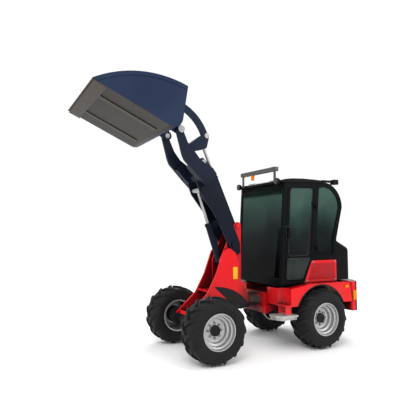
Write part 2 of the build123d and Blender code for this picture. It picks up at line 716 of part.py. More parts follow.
# Cab back: a low wall that carries the hood, and the curved rear glass
with BuildPart() as cab_back:
    with BuildSketch(side(CAB_INNER_WIDTH / 2)):
        with BuildLine():
            Polyline((CAB_BACK_X, CAB_DECK), (CAB_BACK_X - 12, CAB_WAIST - 4),
                     (CAB_BACK_X + 13, CAB_WAIST - 4), (CAB_BACK_X + 25, CAB_DECK), close=True)
        make_face()
    extrude(amount=CAB_INNER_WIDTH)
    for hinge_y in HOOD_HINGES_Y:
        with BuildSketch(side(hinge_y + HINGE_LENGTH + FACE_GAP)):
            with Locations(HOOD_HINGE):
                Circle(HINGE_RADIUS)
            with Locations((CAB_BACK_X - 8, HOOD_HINGE[1] - 4)):
                Rectangle(6, 14)
            make_hull()
        extrude(amount=HINGE_LENGTH)
save(cab_back, "cab_back")

with BuildPart() as rear_glass:
    with BuildSketch(side(CAB_INNER_WIDTH / 2)):
        with BuildLine():
            cab_back_curve(12)
        trace(line_width=GLASS)
    extrude(amount=CAB_INNER_WIDTH)
save(rear_glass, "rear_glass")

# Roof: a shallow cap that overhangs the front
def roof_low(x):
    """Underside of the roof, along the tops of the side frames."""
    return CAB_TOP + 35 * (CAB_FRONT_TOP - x) / (CAB_FRONT_TOP - CAB_ROOF_END)


roof_lip = (ROOF_FRONT, CAB_TOP + 40)
roof_rear = (CAB_ROOF_END, CAB_TOP + ROOF_THICK + 18)
with BuildPart() as roof:
    with BuildSketch(side(ROOF_HALF_WIDTH)):
        with BuildLine():
            Polyline(roof_rear, (CAB_ROOF_END, CAB_TOP + 35), (ROOF_FRONT, roof_low(ROOF_FRONT)), roof_lip)
            ThreePointArc(roof_lip, (ROOF_CROWN_X, CAB_TOP + ROOF_THICK + 32), roof_rear)
        make_face()
    extrude(amount=2 * ROOF_HALF_WIDTH)
save(roof, "roof")

# Light bar and lamps on the roof's front face, and lamps on arms behind it
with BuildPart() as light_bar:
    with BuildSketch(station(ROOF_FRONT - 25)):
        with Locations((0, LIGHT_BAR_Z)):
            RectangleRounded(2 * LIGHT_BAR_HALF, 56, 12)
    extrude(amount=50)
    for bracket_y in (BAR_POST_Y, -BAR_POST_Y):
        with BuildSketch(station(ROOF_FRONT)):
            with Locations((bracket_y, (CAB_TOP + 5 + LIGHT_BAR_Z - 28) / 2)):
                Rectangle(40, LIGHT_BAR_Z - 28 - CAB_TOP - 5)
        extrude(amount=12)
save(light_bar, "light_bar")

with BuildPart() as beacon:
    with BuildSketch(level(LIGHT_BAR_Z - 28 - BEACON_HEIGHT)):
        with Locations((ROOF_FRONT, BEACON_Y)):
            Circle(24)
    extrude(amount=BEACON_HEIGHT)
save(beacon, "beacon")

with BuildPart() as work_lamps:
    for hand in (1, -1):
        with BuildSketch(station(ROOF_FRONT)):
            with Locations((hand * WORK_LAMP_Y, CAB_TOP + 18)):
                Circle(20)
        extrude(amount=12)
        with BuildSketch(station(ROOF_FRONT + 12)):
            with Locations((hand * WORK_LAMP_Y, CAB_TOP + 18)):
                Circle(42)
        extrude(amount=34, taper=-4)
        with BuildSketch(side(hand * REAR_LAMP_Y + REAR_LAMP_SIZE / 2)):
            with Locations((REAR_LAMP_X, CAB_TOP + ROOF_THICK - 15)):
                RectangleRounded(REAR_LAMP_SIZE + 20, REAR_LAMP_SIZE, 14)
        extrude(amount=REAR_LAMP_SIZE)
        with BuildSketch(side(hand * REAR_LAMP_Y + REAR_ARM / 2)):
            with Locations(((CAB_ROOF_END + REAR_LAMP_X) / 2 - FACE_GAP / 2, CAB_TOP + ROOF_THICK - 10)):
                Rectangle(CAB_ROOF_END - REAR_LAMP_X - FACE_GAP, REAR_ARM)
        extrude(amount=REAR_ARM)
save(work_lamps, "work_lamps")

# Side grilles: red covers over the engine bay with a field of slots
with BuildPart() as side_grilles:
    with BuildSketch(side(CAB_HALF_WIDTH)):
        with BuildLine():
            Polyline(PANEL_FOOT, DOOR_CORNER, (CAB_BACK_X, PANEL_TOP), (CAB_BACK_X, SILL), close=True)
        make_face()
        with Locations(((DOOR_CORNER[0] + CAB_BACK_X) / 2 - 10, (SILL + PANEL_TOP) / 2)):
            with GridLocations(0, GRILLE_PITCH, 1, GRILLE_SLOTS):
                SlotOverall(GRILLE_LENGTH, GRILLE_PITCH * 0.55, mode=Mode.SUBTRACT)
    extrude(amount=CAB_WALL)
    mirror(about=Plane.XZ)
save(side_grilles, "side_grilles")

# Seat on the deck, and the steering column in the footwell
with BuildPart() as seat:
    with BuildSketch(side(SEAT_HALF_WIDTH)):
        outline([(CAB_DECK_X + u, CAB_DECK + v) for u, v in SEAT_SHAPE], 18)
    extrude(amount=2 * SEAT_HALF_WIDTH)
    with BuildSketch(level(CAB_DECK)):
        with Locations((CAB_DECK_X - 220, 0)):
            Rectangle(300, SEAT_HALF_WIDTH * 1.5)
    extrude(amount=SEAT_BASE)
save(seat, "seat")

with BuildPart() as steering:
    with BuildSketch(level(CAB_FLOOR)):
        with Locations((COLUMN_X, 0)):
            RectangleRounded(110, 150, 20)
    extrude(amount=CONSOLE_HEIGHT, taper=5)
    column_foot = at(COLUMN_X - 10, 0, CAB_FLOOR + CONSOLE_HEIGHT - 10)
    column_plane = Plane(origin=column_foot, x_dir=(0, 1, 0), z_dir=(-0.42, 0, 0.91))
    with BuildSketch(column_plane):
        Circle(30)
    extrude(amount=COLUMN_LENGTH)
    with BuildSketch(column_plane.offset(COLUMN_LENGTH - 8)):
        Circle(STEERING_WHEEL_RADIUS)
        Circle(STEERING_WHEEL_RADIUS - 24, mode=Mode.SUBTRACT)
        for spoke in (90, 210, 330):
            with Locations(Location((0, 0, 0), (0, 0, spoke))):
                with Locations((STEERING_WHEEL_RADIUS / 2, 0)):
                    Rectangle(STEERING_WHEEL_RADIUS - 10, 26)
    extrude(amount=24)
save(steering, "steering_column")

# Front frame: two outer skins on a deck, a bulkhead and the pivot lug
with BuildPart() as front_frame:
    with BuildSketch(side(SKIN_Y[1])):
        outline(SKIN_SHAPE, 12)
        with Locations(NOSE_HOLE):
            Circle(NOSE_HOLE_RADIUS, mode=Mode.SUBTRACT)
    extrude(amount=SKIN_Y[1] - SKIN_Y[0])
    mirror(about=Plane.XZ)
    with BuildSketch(level(DECK_Z - DECK_THICK)):
        with Locations(((NECK_BULKHEAD_X + DECK_FRONT) / 2, 0)):
            Rectangle(DECK_FRONT - NECK_BULKHEAD_X, 2 * SKIN_Y[0])
    extrude(amount=DECK_THICK)
    with BuildSketch(station(NECK_BULKHEAD_X)):
        with Locations((0, (PIVOT_LOW + DECK_Z) / 2)):
            Rectangle(2 * SKIN_Y[0], DECK_Z - PIVOT_LOW)
    extrude(amount=BULKHEAD_THICK)
    with BuildSketch(station(NOSE_HOLE[0] + 12)):
        with Locations((0, SKIN_LOW + 20)):
            Rectangle(2 * SKIN_Y[0], 40)
    extrude(amount=14)
    with BuildSketch(level(PIVOT_LOW + PIVOT_LUG_THICK + 5)):
        with Locations((0, 0)):
            Circle(PIVOT_LUG_RADIUS - 5)
        with Locations((NECK_BULKHEAD_X + 5, 0)):
            Rectangle(10, 200)
        make_hull()
        with Locations((0, 0)):
            Circle(PIVOT_PIN_RADIUS + PIN_CLEARANCE, mode=Mode.SUBTRACT)
    extrude(amount=PIVOT_HIGH - PIVOT_LOW - 2 * PIVOT_LUG_THICK - 10)
save(front_frame, "front_frame")

# Loader tower: two inner plates that carry the boom, the lift cylinder and the tilt cylinder
with BuildPart() as tower:
    with BuildSketch(side(TOWER_Y[1])):
        for point, radius in [(TILT_BASE, 55), (BOOM_PIVOT, 80), (LIFT_BASE, 55)]:
            with Locations(point):
                Circle(radius)
        with Locations(((TOWER_REAR + TOWER_FRONT) / 2, DECK_Z + 10)):
            Rectangle(TOWER_FRONT - TOWER_REAR, 20)
        make_hull()
        for point, radius in [(TILT_BASE, LINK_PIN_RADIUS), (BOOM_PIVOT, BIG_PIN_RADIUS)]:
            with Locations(point):
                Circle(radius + PIN_CLEARANCE, mode=Mode.SUBTRACT)
    extrude(amount=TOWER_Y[1] - TOWER_Y[0])
    mirror(about=Plane.XZ)
    with BuildSketch(level(DECK_Z)):
        with Locations((TOWER_REAR + 20, 0)):
            Rectangle(16, 2 * TOWER_Y[0])
    extrude(amount=420)
    cross_pin(LIFT_BASE, LIFT_PIN_RADIUS, TOWER_Y[1])
save(tower, "loader_tower")

with BuildPart() as boom_pin:
    cross_pin(BOOM_PIVOT, BIG_PIN_RADIUS, CHEEK_Y[1] + PIN_HEAD)
    for hand in (1, -1):
        with Locations(at(BOOM_PIVOT[0], hand * (CHEEK_Y[1] + FACE_GAP + PIN_HEAD / 2), BOOM_PIVOT[1])):
            Cylinder(BIG_PIN_RADIUS + PIN_RIM, PIN_HEAD, rotation=(90, 0, 0))
save(boom_pin, "boom_pin")

# Boom: two cheeks from the tower, boxed out to two necks that carry the hitch
BOOM_LENGTH = span(BOOM_PIVOT, LEVER_PIVOT)
NECK_LENGTH = span(LEVER_PIVOT, HITCH_PIVOT)
# columns: distance along the boom from its pivot, distance to its front
CHEEK_SHAPE = [(-140, 40), (-140, -40), (-20, -85), (310, -92), (BOOM_LENGTH * 0.5, -112),
               (BOOM_LENGTH - 75, -88), (BOOM_LENGTH + 62, -25), (BOOM_LENGTH + 62, 30),
               (BOOM_LENGTH - 40, 120), (BOOM_LENGTH - 215, 182), (BOOM_LENGTH - 345, 190),
               (505, 116), (245, 88), (0, 80)]
# columns: distance along the neck from the lever pivot, distance to its front
NECK_SHAPE = [(-215, 0), (-120, -10), (0, 32), (160, 68), (300, 54), (NECK_LENGTH - 40, -8),
              (NECK_LENGTH + 20, -50), (NECK_LENGTH + 58, 0), (NECK_LENGTH + 30, 55), (490, 86),
              (280, 200), (215, 224), (-45, 222), (-225, 215)]
BOX_SHAPE = [(-215, 20), (-110, 35), (10, 85), (110, 100), (120, 222), (-45, 220), (-225, 213)]
with BuildPart() as boom:
    cheek_plane = along(BOOM_PIVOT, LEVER_PIVOT, CHEEK_Y[1])
    with BuildSketch(cheek_plane):
        outline([(u, -v) for u, v in CHEEK_SHAPE], 25)
        Circle(BIG_PIN_RADIUS + PIN_CLEARANCE, mode=Mode.SUBTRACT)
        with Locations((BOOM_LENGTH, 0)):
            Circle(LINK_PIN_RADIUS + PIN_CLEARANCE, mode=Mode.SUBTRACT)
    extrude(amount=CHEEK_Y[1] - CHEEK_Y[0])
    with BuildSketch(along(LEVER_PIVOT, HITCH_PIVOT, NECK_Y[1])):
        outline([(u, -v) for u, v in NECK_SHAPE], 25)
        with Locations((NECK_LENGTH, 0)):
            Circle(BIG_PIN_RADIUS + PIN_CLEARANCE, mode=Mode.SUBTRACT)
    extrude(amount=NECK_Y[1] - NECK_Y[0])
    with BuildSketch(along(LEVER_PIVOT, HITCH_PIVOT, NECK_Y[0])):
        outline([(u, -v) for u, v in BOX_SHAPE], 15)
    extrude(amount=NECK_Y[0] - CHEEK_Y[1])
    with BuildSketch(side(CHEEK_Y[1] + 10)):
        with Locations(LIFT_EYE):
            Circle(34)
    extrude(amount=10)
    mirror(about=Plane.XZ)
    web_plane = along(BOOM_PIVOT, LEVER_PIVOT, CHEEK_Y[0])
    with BuildSketch(web_plane):
        with Locations((WEB_MIDDLE, 0)):
            Rectangle(WEB_LENGTH, 20)
        with Locations((BOOM_LENGTH - 156, -128)):
            Rectangle(75, 16)
    extrude(amount=2 * CHEEK_Y[0])
save(boom, "boom")

# Lift cylinder under the boom
def cylinder_barrel(start, end, radius, length, rod_radius, eye_half, pin_radius):
    """Cylinder barrel with a bored base eye, a rod bore and a gland collar."""
    run = along(start, end)
    bar_up = (Align.CENTER, Align.CENTER, Align.MIN)
    tube_plane = Plane(run.origin, x_dir=(0, 1, 0), z_dir=run.x_dir)
    with Locations(tube_plane):
        Cylinder(radius, length, align=bar_up)
    with Locations(tube_plane.offset(length - 40)):
        Cylinder(radius + 5, 30, align=bar_up)
    with Locations(run):
        Cylinder(radius + 4, 2 * eye_half)
        Cylinder(pin_radius + PIN_CLEARANCE, 2 * eye_half, mode=Mode.SUBTRACT)
    with Locations(tube_plane.offset(radius + 8)):
        Cylinder(rod_radius + PIN_CLEARANCE, length, align=bar_up, mode=Mode.SUBTRACT)


def cylinder_rod(start, end, length, rod_radius, eye_radius, eye_half):
    """Piston rod that ends in a cross eye at the far pin."""
    run = along(end, start)
    with Locations(Plane(run.origin, x_dir=(0, 1, 0), z_dir=run.x_dir)):
        Cylinder(rod_radius, length, align=(Align.CENTER, Align.CENTER, Align.MIN))
    with Locations(run):
        Cylinder(eye_radius, 2 * eye_half)


with BuildPart() as lift_barrel:
    cylinder_barrel(LIFT_BASE, LIFT_EYE, LIFT_BARREL_RADIUS, LIFT_BARREL_LENGTH, LIFT_ROD_RADIUS,
                    BARREL_EYE, LIFT_PIN_RADIUS)
save(lift_barrel, "lift_barrel")
with BuildPart() as lift_rod:
    cylinder_rod(LIFT_BASE, LIFT_EYE, LIFT_ROD_LENGTH, LIFT_ROD_RADIUS, 40, CHEEK_Y[0] - 10)
save(lift_rod, "lift_rod")

# Tilt cylinder between the cheeks, behind the boom: a barrel, a telescopic sleeve and a rod
with BuildPart() as tilt_barrel:
    cylinder_barrel(TILT_BASE, CYLINDER_PIN, TILT_BARREL_RADIUS, TILT_BARREL_LENGTH, TILT_SLEEVE_RADIUS,
                    BARREL_EYE, LINK_PIN_RADIUS)
save(tilt_barrel, "tilt_barrel")
with BuildPart() as tilt_sleeve:
    run = along(TILT_BASE, CYLINDER_PIN)
    mouth = Plane(run.origin, x_dir=(0, 1, 0), z_dir=run.x_dir).offset(TILT_BARREL_LENGTH + FACE_GAP)
    with Locations(mouth):
        Cylinder(TILT_SLEEVE_RADIUS, TILT_SLEEVE_LENGTH, align=(Align.CENTER, Align.CENTER, Align.MAX))
        Cylinder(TILT_SLEEVE_RADIUS + 4, 20, align=(Align.CENTER, Align.CENTER, Align.MIN))
        Cylinder(TILT_ROD_RADIUS + PIN_CLEARANCE, 2 * TILT_SLEEVE_LENGTH, mode=Mode.SUBTRACT)
save(tilt_sleeve, "tilt_sleeve")
with BuildPart() as tilt_rod:
    cylinder_rod(TILT_BASE, CYLINDER_PIN, TILT_ROD_LENGTH, TILT_ROD_RADIUS, 38, LEVER_Y[0] - 3)
save(tilt_rod, "tilt_rod")
with BuildPart() as tilt_base_pin:
    cross_pin(TILT_BASE, LINK_PIN_RADIUS, TOWER_Y[1] + PIN_HEAD)
    for hand in (1, -1):
        with Locations(at(TILT_BASE[0], hand * (TOWER_Y[1] + FACE_GAP + PIN_HEAD / 2), TILT_BASE[1])):
            Cylinder(LINK_PIN_RADIUS + PIN_RIM, PIN_HEAD, rotation=(90, 0, 0))
save(tilt_base_pin, "tilt_base_pin")

# Tilt lever: two bent plates joined at the knee
LEVER_BEND = plus(LEVER_PIVOT, LEVER_KNEE)
with BuildPart() as lever:
    with BuildSketch(side(LEVER_Y[1])):
        for point in (LEVER_PIVOT, LEVER_BEND):
            with Locations(point):
                Circle(45)
        make_hull()
    extrude(amount=LEVER_Y[1] - LEVER_Y[0])
    with BuildSketch(side(LEVER_Y[1])):
        for point, radius in [(LEVER_BEND, 45), (LINK_PIN, 42), (CYLINDER_PIN, 42)]:
            with Locations(point):
                Circle(radius)
        make_hull()
    extrude(amount=LEVER_Y[1] - LEVER_Y[0])
    with BuildSketch(side(CHEEK_Y[0] - SWING_GAP)):
        with Locations(LEVER_PIVOT):
            Circle(45)
    extrude(amount=CHEEK_Y[0] - SWING_GAP - LEVER_Y[1])
    with BuildSketch(side(CHEEK_Y[0])):
        for point in (LEVER_PIVOT, LINK_PIN):
            with Locations(point):
                Circle(LINK_PIN_RADIUS + PIN_CLEARANCE)
    extrude(amount=CHEEK_Y[0] - 1, mode=Mode.SUBTRACT)
    mirror(about=Plane.XZ)
    cross_pin(LEVER_BEND, 28, LEVER_Y[0])
save(lever, "tilt_lever")

with BuildPart() as lever_pins:
    with BuildSketch(side(CHEEK_Y[1] + PIN_HEAD)):
        with Locations(LEVER_PIVOT):
            Circle(LINK_PIN_RADIUS)
    extrude(amount=CHEEK_Y[1] + PIN_HEAD - LEVER_Y[0] - 1)
    with BuildSketch(side(CHEEK_Y[1] + PIN_HEAD)):
        with Locations(LEVER_PIVOT):
            Circle(LINK_PIN_RADIUS + PIN_RIM)
    extrude(amount=PIN_HEAD - FACE_GAP)
    mirror(about=Plane.XZ)
save(lever_pins, "lever_pins")

with BuildPart() as link_pin:
    cross_pin(LINK_PIN, LINK_PIN_RADIUS, LEVER_Y[1] + PIN_HEAD)
    for hand in (1, -1):
        with Locations(at(LINK_PIN[0], hand * (LEVER_Y[1] + FACE_GAP + PIN_HEAD / 2), LINK_PIN[1])):
            Cylinder(LINK_PIN_RADIUS + PIN_RIM, PIN_HEAD, rotation=(90, 0, 0))
save(link_pin, "link_pin")

# Link: one bowed bar from the lever to the hitch
LINK_LENGTH = span(LINK_PIN, HITCH_LINK)
with BuildPart() as link:
    with BuildSketch(along(LINK_PIN, HITCH_LINK, LINK_HALF_WIDTH)):
        with BuildLine():
            ThreePointArc((0, 0), (LINK_LENGTH / 2, LINK_BOW), (LINK_LENGTH, 0))
        trace(line_width=2 * LINK_END_RADIUS)
        with Locations((0, 0), (LINK_LENGTH, 0)):
            Circle(LINK_END_RADIUS)
            Circle(LINK_PIN_RADIUS + PIN_CLEARANCE, mode=Mode.SUBTRACT)
    extrude(amount=2 * LINK_HALF_WIDTH)
save(link, "tilt_link")

# Hitch: a plate on the bucket's back with ears for the necks and the link
BACK_LENGTH = span(BUCKET_HEEL, BUCKET_TOP)
back_dir = ((BUCKET_TOP[0] - BUCKET_HEEL[0]) / BACK_LENGTH, (BUCKET_TOP[1] - BUCKET_HEEL[1]) / BACK_LENGTH)


def on_back(height, out):
    """A point up the bucket's back plate and out behind it."""
    return (BUCKET_HEEL[0] + back_dir[0] * height - back_dir[1] * out,
            BUCKET_HEEL[1] + back_dir[1] * height + back_dir[0] * out)


with BuildPart() as hitch:
    with BuildSketch(along(BUCKET_HEEL, BUCKET_TOP, HITCH_HALF_WIDTH)):
        with Locations(((HITCH_LOW + HITCH_HIGH) / 2, BUCKET_WALL / 2 + HITCH_PLATE / 2)):
            Rectangle(HITCH_HIGH - HITCH_LOW, HITCH_PLATE)
    extrude(amount=2 * HITCH_HALF_WIDTH)
    seat_out = BUCKET_WALL / 2 + HITCH_PLATE
    # columns: ear half widths, pin, ear radius, pin radius, low and high foot on the plate
    for ear_y, pin, radius, pin_radius, low, high in [
        (HITCH_EAR_Y, HITCH_PIVOT, 56, BIG_PIN_RADIUS, HITCH_LOW + 8, HITCH_HIGH - 140),
        (LEVER_Y, HITCH_LINK, 44, LINK_PIN_RADIUS, HITCH_HIGH - 150, HITCH_HIGH - 8),
    ]:
        for hand in (1, -1):
            with BuildSketch(side(ear_y[1] if hand > 0 else -ear_y[0])):
                with Locations(pin):
                    Circle(radius)
                for foot in (low, high):
                    with Locations(on_back(foot, seat_out)):
                        Circle(6)
                make_hull()
                with Locations(pin):
                    Circle(pin_radius + PIN_CLEARANCE, mode=Mode.SUBTRACT)
            extrude(amount=ear_y[1] - ear_y[0])
save(hitch, "hitch")

with BuildPart() as hitch_pins:
    with BuildSketch(side(NECK_Y[1] + PIN_HEAD)):
        with Locations(HITCH_PIVOT):
            Circle(BIG_PIN_RADIUS)
    extrude(amount=NECK_Y[1] + PIN_HEAD - HITCH_EAR_Y[0])
    with BuildSketch(side(NECK_Y[1] + PIN_HEAD)):
        with Locations(HITCH_PIVOT):
            Circle(BIG_PIN_RADIUS + PIN_RIM)
    extrude(amount=PIN_HEAD - FACE_GAP)
    mirror(about=Plane.XZ)
save(hitch_pins, "hitch_pins")

with BuildPart() as hitch_link_pin:
    cross_pin(HITCH_LINK, LINK_PIN_RADIUS, LEVER_Y[1] + PIN_HEAD)
save(hitch_link_pin, "hitch_link_pin")

# Bucket: a bent floor and back between two side plates with a band along the rim
BUCKET_HALF = BUCKET_WIDTH / 2


def bucket_floor_line():
    """Middle line of the bucket's floor, heel bend and back."""
    FilletPolyline(BUCKET_LIP, BUCKET_HEEL, BUCKET_TOP, radius=HEEL_RADIUS)


with BuildPart() as bucket:
    with BuildSketch(side(BUCKET_HALF - BUCKET_BAND)):
        with BuildLine():
            bucket_floor_line()
        trace(line_width=BUCKET_WALL)
    extrude(amount=2 * (BUCKET_HALF - BUCKET_BAND))
    for hand in (1, -1):
        plate_y = BUCKET_HALF - BUCKET_BAND
        with BuildSketch(side(plate_y if hand > 0 else BUCKET_SIDE - plate_y)):
            with BuildLine():
                bucket_floor_line()
                ThreePointArc(BUCKET_TOP, BUCKET_CROWN, BUCKET_LIP)
            make_face()
        extrude(amount=BUCKET_SIDE)
        with BuildSketch(side(BUCKET_HALF if hand > 0 else BUCKET_BAND - BUCKET_HALF)):
            with BuildLine():
                ThreePointArc(BUCKET_TOP, BUCKET_CROWN, BUCKET_LIP)
            trace(line_width=2 * BAND_WIDTH)
            with BuildLine():
                bucket_floor_line()
                ThreePointArc(BUCKET_TOP, BUCKET_CROWN, BUCKET_LIP)
            make_face(mode=Mode.INTERSECT)
        extrude(amount=BUCKET_BAND)
save(bucket, "bucket")

# Cutting edge: a plate under the lip, and two wear strips back along the floor
EDGE_HALF = BUCKET_HALF - BUCKET_BAND
EDGE_BACK = EDGE_SETBACK + EDGE_DEPTH
with BuildPart() as cutting_edge:
    # columns: left face, width across, start and end back from the lip, thickness
    for left_y, width, start, end, thick in [
        (EDGE_HALF, 2 * EDGE_HALF, EDGE_SETBACK, EDGE_BACK, EDGE_THICK),
        (STRIP_Y + STRIP_WIDTH / 2, STRIP_WIDTH, EDGE_BACK, STRIP_END, STRIP_THICK),
        (-STRIP_Y + STRIP_WIDTH / 2, STRIP_WIDTH, EDGE_BACK, STRIP_END, STRIP_THICK),
    ]:
        with BuildSketch(along(BUCKET_LIP, BUCKET_HEEL, left_y)):
            with Locations(((start + end) / 2, BUCKET_WALL / 2 + thick / 2)):
                Rectangle(end - start, thick)
        extrude(amount=width)
save(cutting_edge, "cutting_edge")
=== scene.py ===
import math
import bpy
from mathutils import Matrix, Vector


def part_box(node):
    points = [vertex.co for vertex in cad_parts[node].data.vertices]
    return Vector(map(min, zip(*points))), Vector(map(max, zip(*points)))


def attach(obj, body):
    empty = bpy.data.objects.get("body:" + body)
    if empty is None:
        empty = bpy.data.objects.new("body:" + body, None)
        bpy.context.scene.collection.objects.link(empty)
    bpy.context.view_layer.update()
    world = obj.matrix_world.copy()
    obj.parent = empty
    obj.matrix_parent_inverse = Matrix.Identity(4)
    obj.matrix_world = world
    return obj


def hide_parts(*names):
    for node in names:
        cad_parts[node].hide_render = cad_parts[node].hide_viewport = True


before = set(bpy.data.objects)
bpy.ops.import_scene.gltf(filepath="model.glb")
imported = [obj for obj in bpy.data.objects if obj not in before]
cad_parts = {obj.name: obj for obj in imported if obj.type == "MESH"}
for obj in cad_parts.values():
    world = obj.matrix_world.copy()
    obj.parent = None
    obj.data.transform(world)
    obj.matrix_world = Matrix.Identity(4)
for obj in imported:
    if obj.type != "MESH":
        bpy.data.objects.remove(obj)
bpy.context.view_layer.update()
bpy.ops.object.select_all(action="DESELECT")

# Frames, tower and side covers: bent and welded steel plate, sprayed with a bright red gloss paint.
# The plates are welded to each other, their edges are dressed round, and the two frames meet at the
# upright pin, which throws grease on them.


class Wire:
    """A shader socket that sums, differences and products can be taken of."""

    def __init__(self, finish, socket):
        self.finish = finish
        self.socket = socket

    def maths(self, operation, first, second):
        return self.finish.node("ShaderNodeMath", {"operation": operation}, {0: first, 1: second})

    def __add__(self, other):
        return self.maths("ADD", self, other)

    def __sub__(self, other):
        return self.maths("SUBTRACT", self, other)

    def __rsub__(self, other):
        return self.maths("SUBTRACT", other, self)

    def __mul__(self, other):
        return self.maths("MULTIPLY", self, other)

    __radd__ = __add__
    __rmul__ = __mul__


class Finish:
    """A node material grown from one principled shader, which holds its constants on its own sockets."""

    def __init__(self, name, **constants):
        self.material = bpy.data.materials.new(name)
        self.material.use_nodes = True
        self.tree = self.material.node_tree
        self.shader = self.tree.nodes["Principled BSDF"]
        for socket, value in constants.items():
            self.shader.inputs[socket.replace("_", " ")].default_value = value

    def node(self, kind, settings=None, sockets=None, out=0):
        """Add one node: its settings first, then the values or links of its sockets."""
        added = self.tree.nodes.new(kind)
        for key, value in (settings or {}).items():
            setattr(added, key, value)
        for key, value in (sockets or {}).items():
            self.link(added.inputs[key], value)
        return Wire(self, added.outputs[out])

    def link(self, socket, value):
        if isinstance(value, Wire):
            self.tree.links.new(value.socket, socket)
        else:
            socket.default_value = value

    def feed(self, **sockets):
        """Lead values to the shader."""
        for socket, value in sockets.items():
            self.link(self.shader.inputs[socket.replace("_", " ")], value)

    def places(self):
        """The object's own coordinates."""
        return self.node("ShaderNodeTexCoord", out="Object")

    def axis(self, number):
        """One of the object's own coordinates."""
        return self.node("ShaderNodeSeparateXYZ", None, {0: self.places()}, out=number)

    def noise(self, scale, detail=4.0):
        sockets = {"Vector": self.places(), "Scale": scale, "Detail": detail}
        return self.node("ShaderNodeTexNoise", None, sockets)

    def cells(self, scale, randomness=1.0):
        sockets = {"Vector": self.places(), "Scale": scale, "Randomness": randomness}
        return self.node("ShaderNodeTexVoronoi", None, sockets)

    def waves(self, direction, scale):
        sockets = {"Vector": self.places(), "Scale": scale}
        return self.node("ShaderNodeTexWave", {"bands_direction": direction}, sockets)

    def single(self, operation, value):
        """Maths on one value, such as its sine or its root."""
        return self.node("ShaderNodeMath", {"operation": operation}, {0: value})

    def part_of(self, value, low, high, to_low=0.0, to_high=1.0):
        """A value's place between two limits, moved to two others and held there."""
        sockets = {0: value, 1: low, 2: high, 3: to_low, 4: to_high}
        return self.node("ShaderNodeMapRange", None, sockets)

    def mix(self, factor, first, second):
        """A colour between two others."""
        sockets = {0: factor, 6: first, 7: second}
        return self.node("ShaderNodeMix", {"data_type": "RGBA"}, sockets, out=2)

    def reach(self, centre, across=(1, 0, 1)):
        """Distance from a wheel's axle, or from a pin that lies another way."""
        spot = self.node("ShaderNodeMapping", None, {0: self.places(), 1: tuple(-centre)})
        flat = self.node("ShaderNodeVectorMath", {"operation": "MULTIPLY"}, {0: spot, 1: across})
        return self.node("ShaderNodeVectorMath", {"operation": "LENGTH"}, {0: flat}, out="Value")

    def occlusion(self, distance):
        """Ambient occlusion, which is shade: one in the open, less in corners and under covers."""
        sockets = {"Distance": distance}
        return self.node("ShaderNodeAmbientOcclusion", {"samples": 8}, sockets, out="AO")

    def bump(self, height, distance, strength=1.0):
        sockets = {"Height": height, "Distance": distance, "Strength": strength}
        return self.node("ShaderNodeBump", None, sockets)


def sprayed(name, colour, faded, dust, rough, coat, gloss, *covers):
    """Sprayed paint with orange peel, faint fading, road dust low down and scuffed gloss.
    Each cover is a colour, with a function that says which part of the surface it lies on."""
    paint = Finish(name, Coat_Roughness=0.06, Specular_IOR_Level=gloss)
    cloud = paint.noise(2.3, 5.0)
    fine = paint.noise(38.0, 3.0)
    low_down = paint.part_of(paint.axis(2), 0.25, 1.0, 1.0, 0.0)
    dusty = low_down * paint.part_of(cloud * fine, 0.2, 0.42) * 0.22
    body = paint.mix(paint.part_of(cloud, 0.35, 0.7), colour, faded)
    for cover, part in covers:
        body = paint.mix(part(paint), body, cover)
    paint.feed(
        Base_Color=paint.mix(dusty, body, dust),
        Roughness=paint.part_of(fine, 0.3, 0.7, rough - 0.03, rough + 0.06) + dusty * 0.3,
        Coat_Weight=coat - dusty * coat,
        Normal=paint.bump(paint.noise(420.0, 2.0), 0.0002, 0.3),
    )
    return paint.material


pin_low, pin_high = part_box("articulation_pin")
PIVOT = (pin_low.x + pin_high.x) / 2
PIN_FOOT = Vector((PIVOT, 0, 0))
GREASE_REACH = (0.15, 0.27)
GREASE_HEIGHT = (0.74, 0.86)
RED = (0.66, 0.004, 0.008, 1)
FADED_RED = (0.58, 0.005, 0.01, 1)
# The dark red of the painted shade in corners and undersides.
CORNER_SHADE_RED = (0.06, 0.001, 0.002, 1)
GREASE = (0.008, 0.002, 0.002, 1)
ROAD_DUST = (0.28, 0.17, 0.13, 1)


def painted_corner_shade(paint):
    """Corners and undersides, darkened with painted shade."""
    return paint.part_of(paint.occlusion(0.7), 0.3, 0.8, 1.0, 0.0)


def greasy(paint):
    """What lies near the upright pin, fading out with distance and with height."""
    near = paint.part_of(paint.reach(PIN_FOOT, (1, 1, 0)), *GREASE_REACH, 0.96, 0.0)
    return near * paint.part_of(paint.axis(2), *GREASE_HEIGHT, 1.0, 0.0)


def sprayed_red(name, *covers):
    """The machine's red, with painted shade darkening its corners, grease at the pin and what is painted
    over it.
    """
    return sprayed(name, RED, FADED_RED, ROAD_DUST, 0.3, 0.1, 0.12,
                   (CORNER_SHADE_RED, painted_corner_shade), (GREASE, greasy), *covers)


def dress(material, *names):
    """Give one finish to some of the solids."""
    for name in names:
        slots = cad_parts[name].data.materials
        slots.clear()
        slots.append(material)


def rounding(piece, width, angle=40):
    """Put a bevel on the edges where a piece's faces meet at more than an angle."""
    edge = piece.modifiers.new("rounding", "BEVEL")
    edge.width = width
    edge.segments = 2
    edge.limit_method = "ANGLE"
    edge.angle_limit = math.radians(angle)


SAME_PLACE = 0.00002


def dressed_edges(width, *names):
    """Round the sharp edges of some of the solids, as a grinder or a mould leaves them."""
    for name in names:
        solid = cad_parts[name]
        solid.modifiers.new("joined", "WELD").merge_threshold = SAME_PLACE
        rounding(solid, width)


red_paint = sprayed_red("red_paint")
dress(red_paint, "rear_frame", "loader_tower", "side_grilles")
dressed_edges(0.003, "rear_frame", "front_frame", "loader_tower", "side_grilles")

# Axles and engine: sand-cast iron with a rough skin, painted thinly in black and grey, bolted under
# the frames and between the rails.


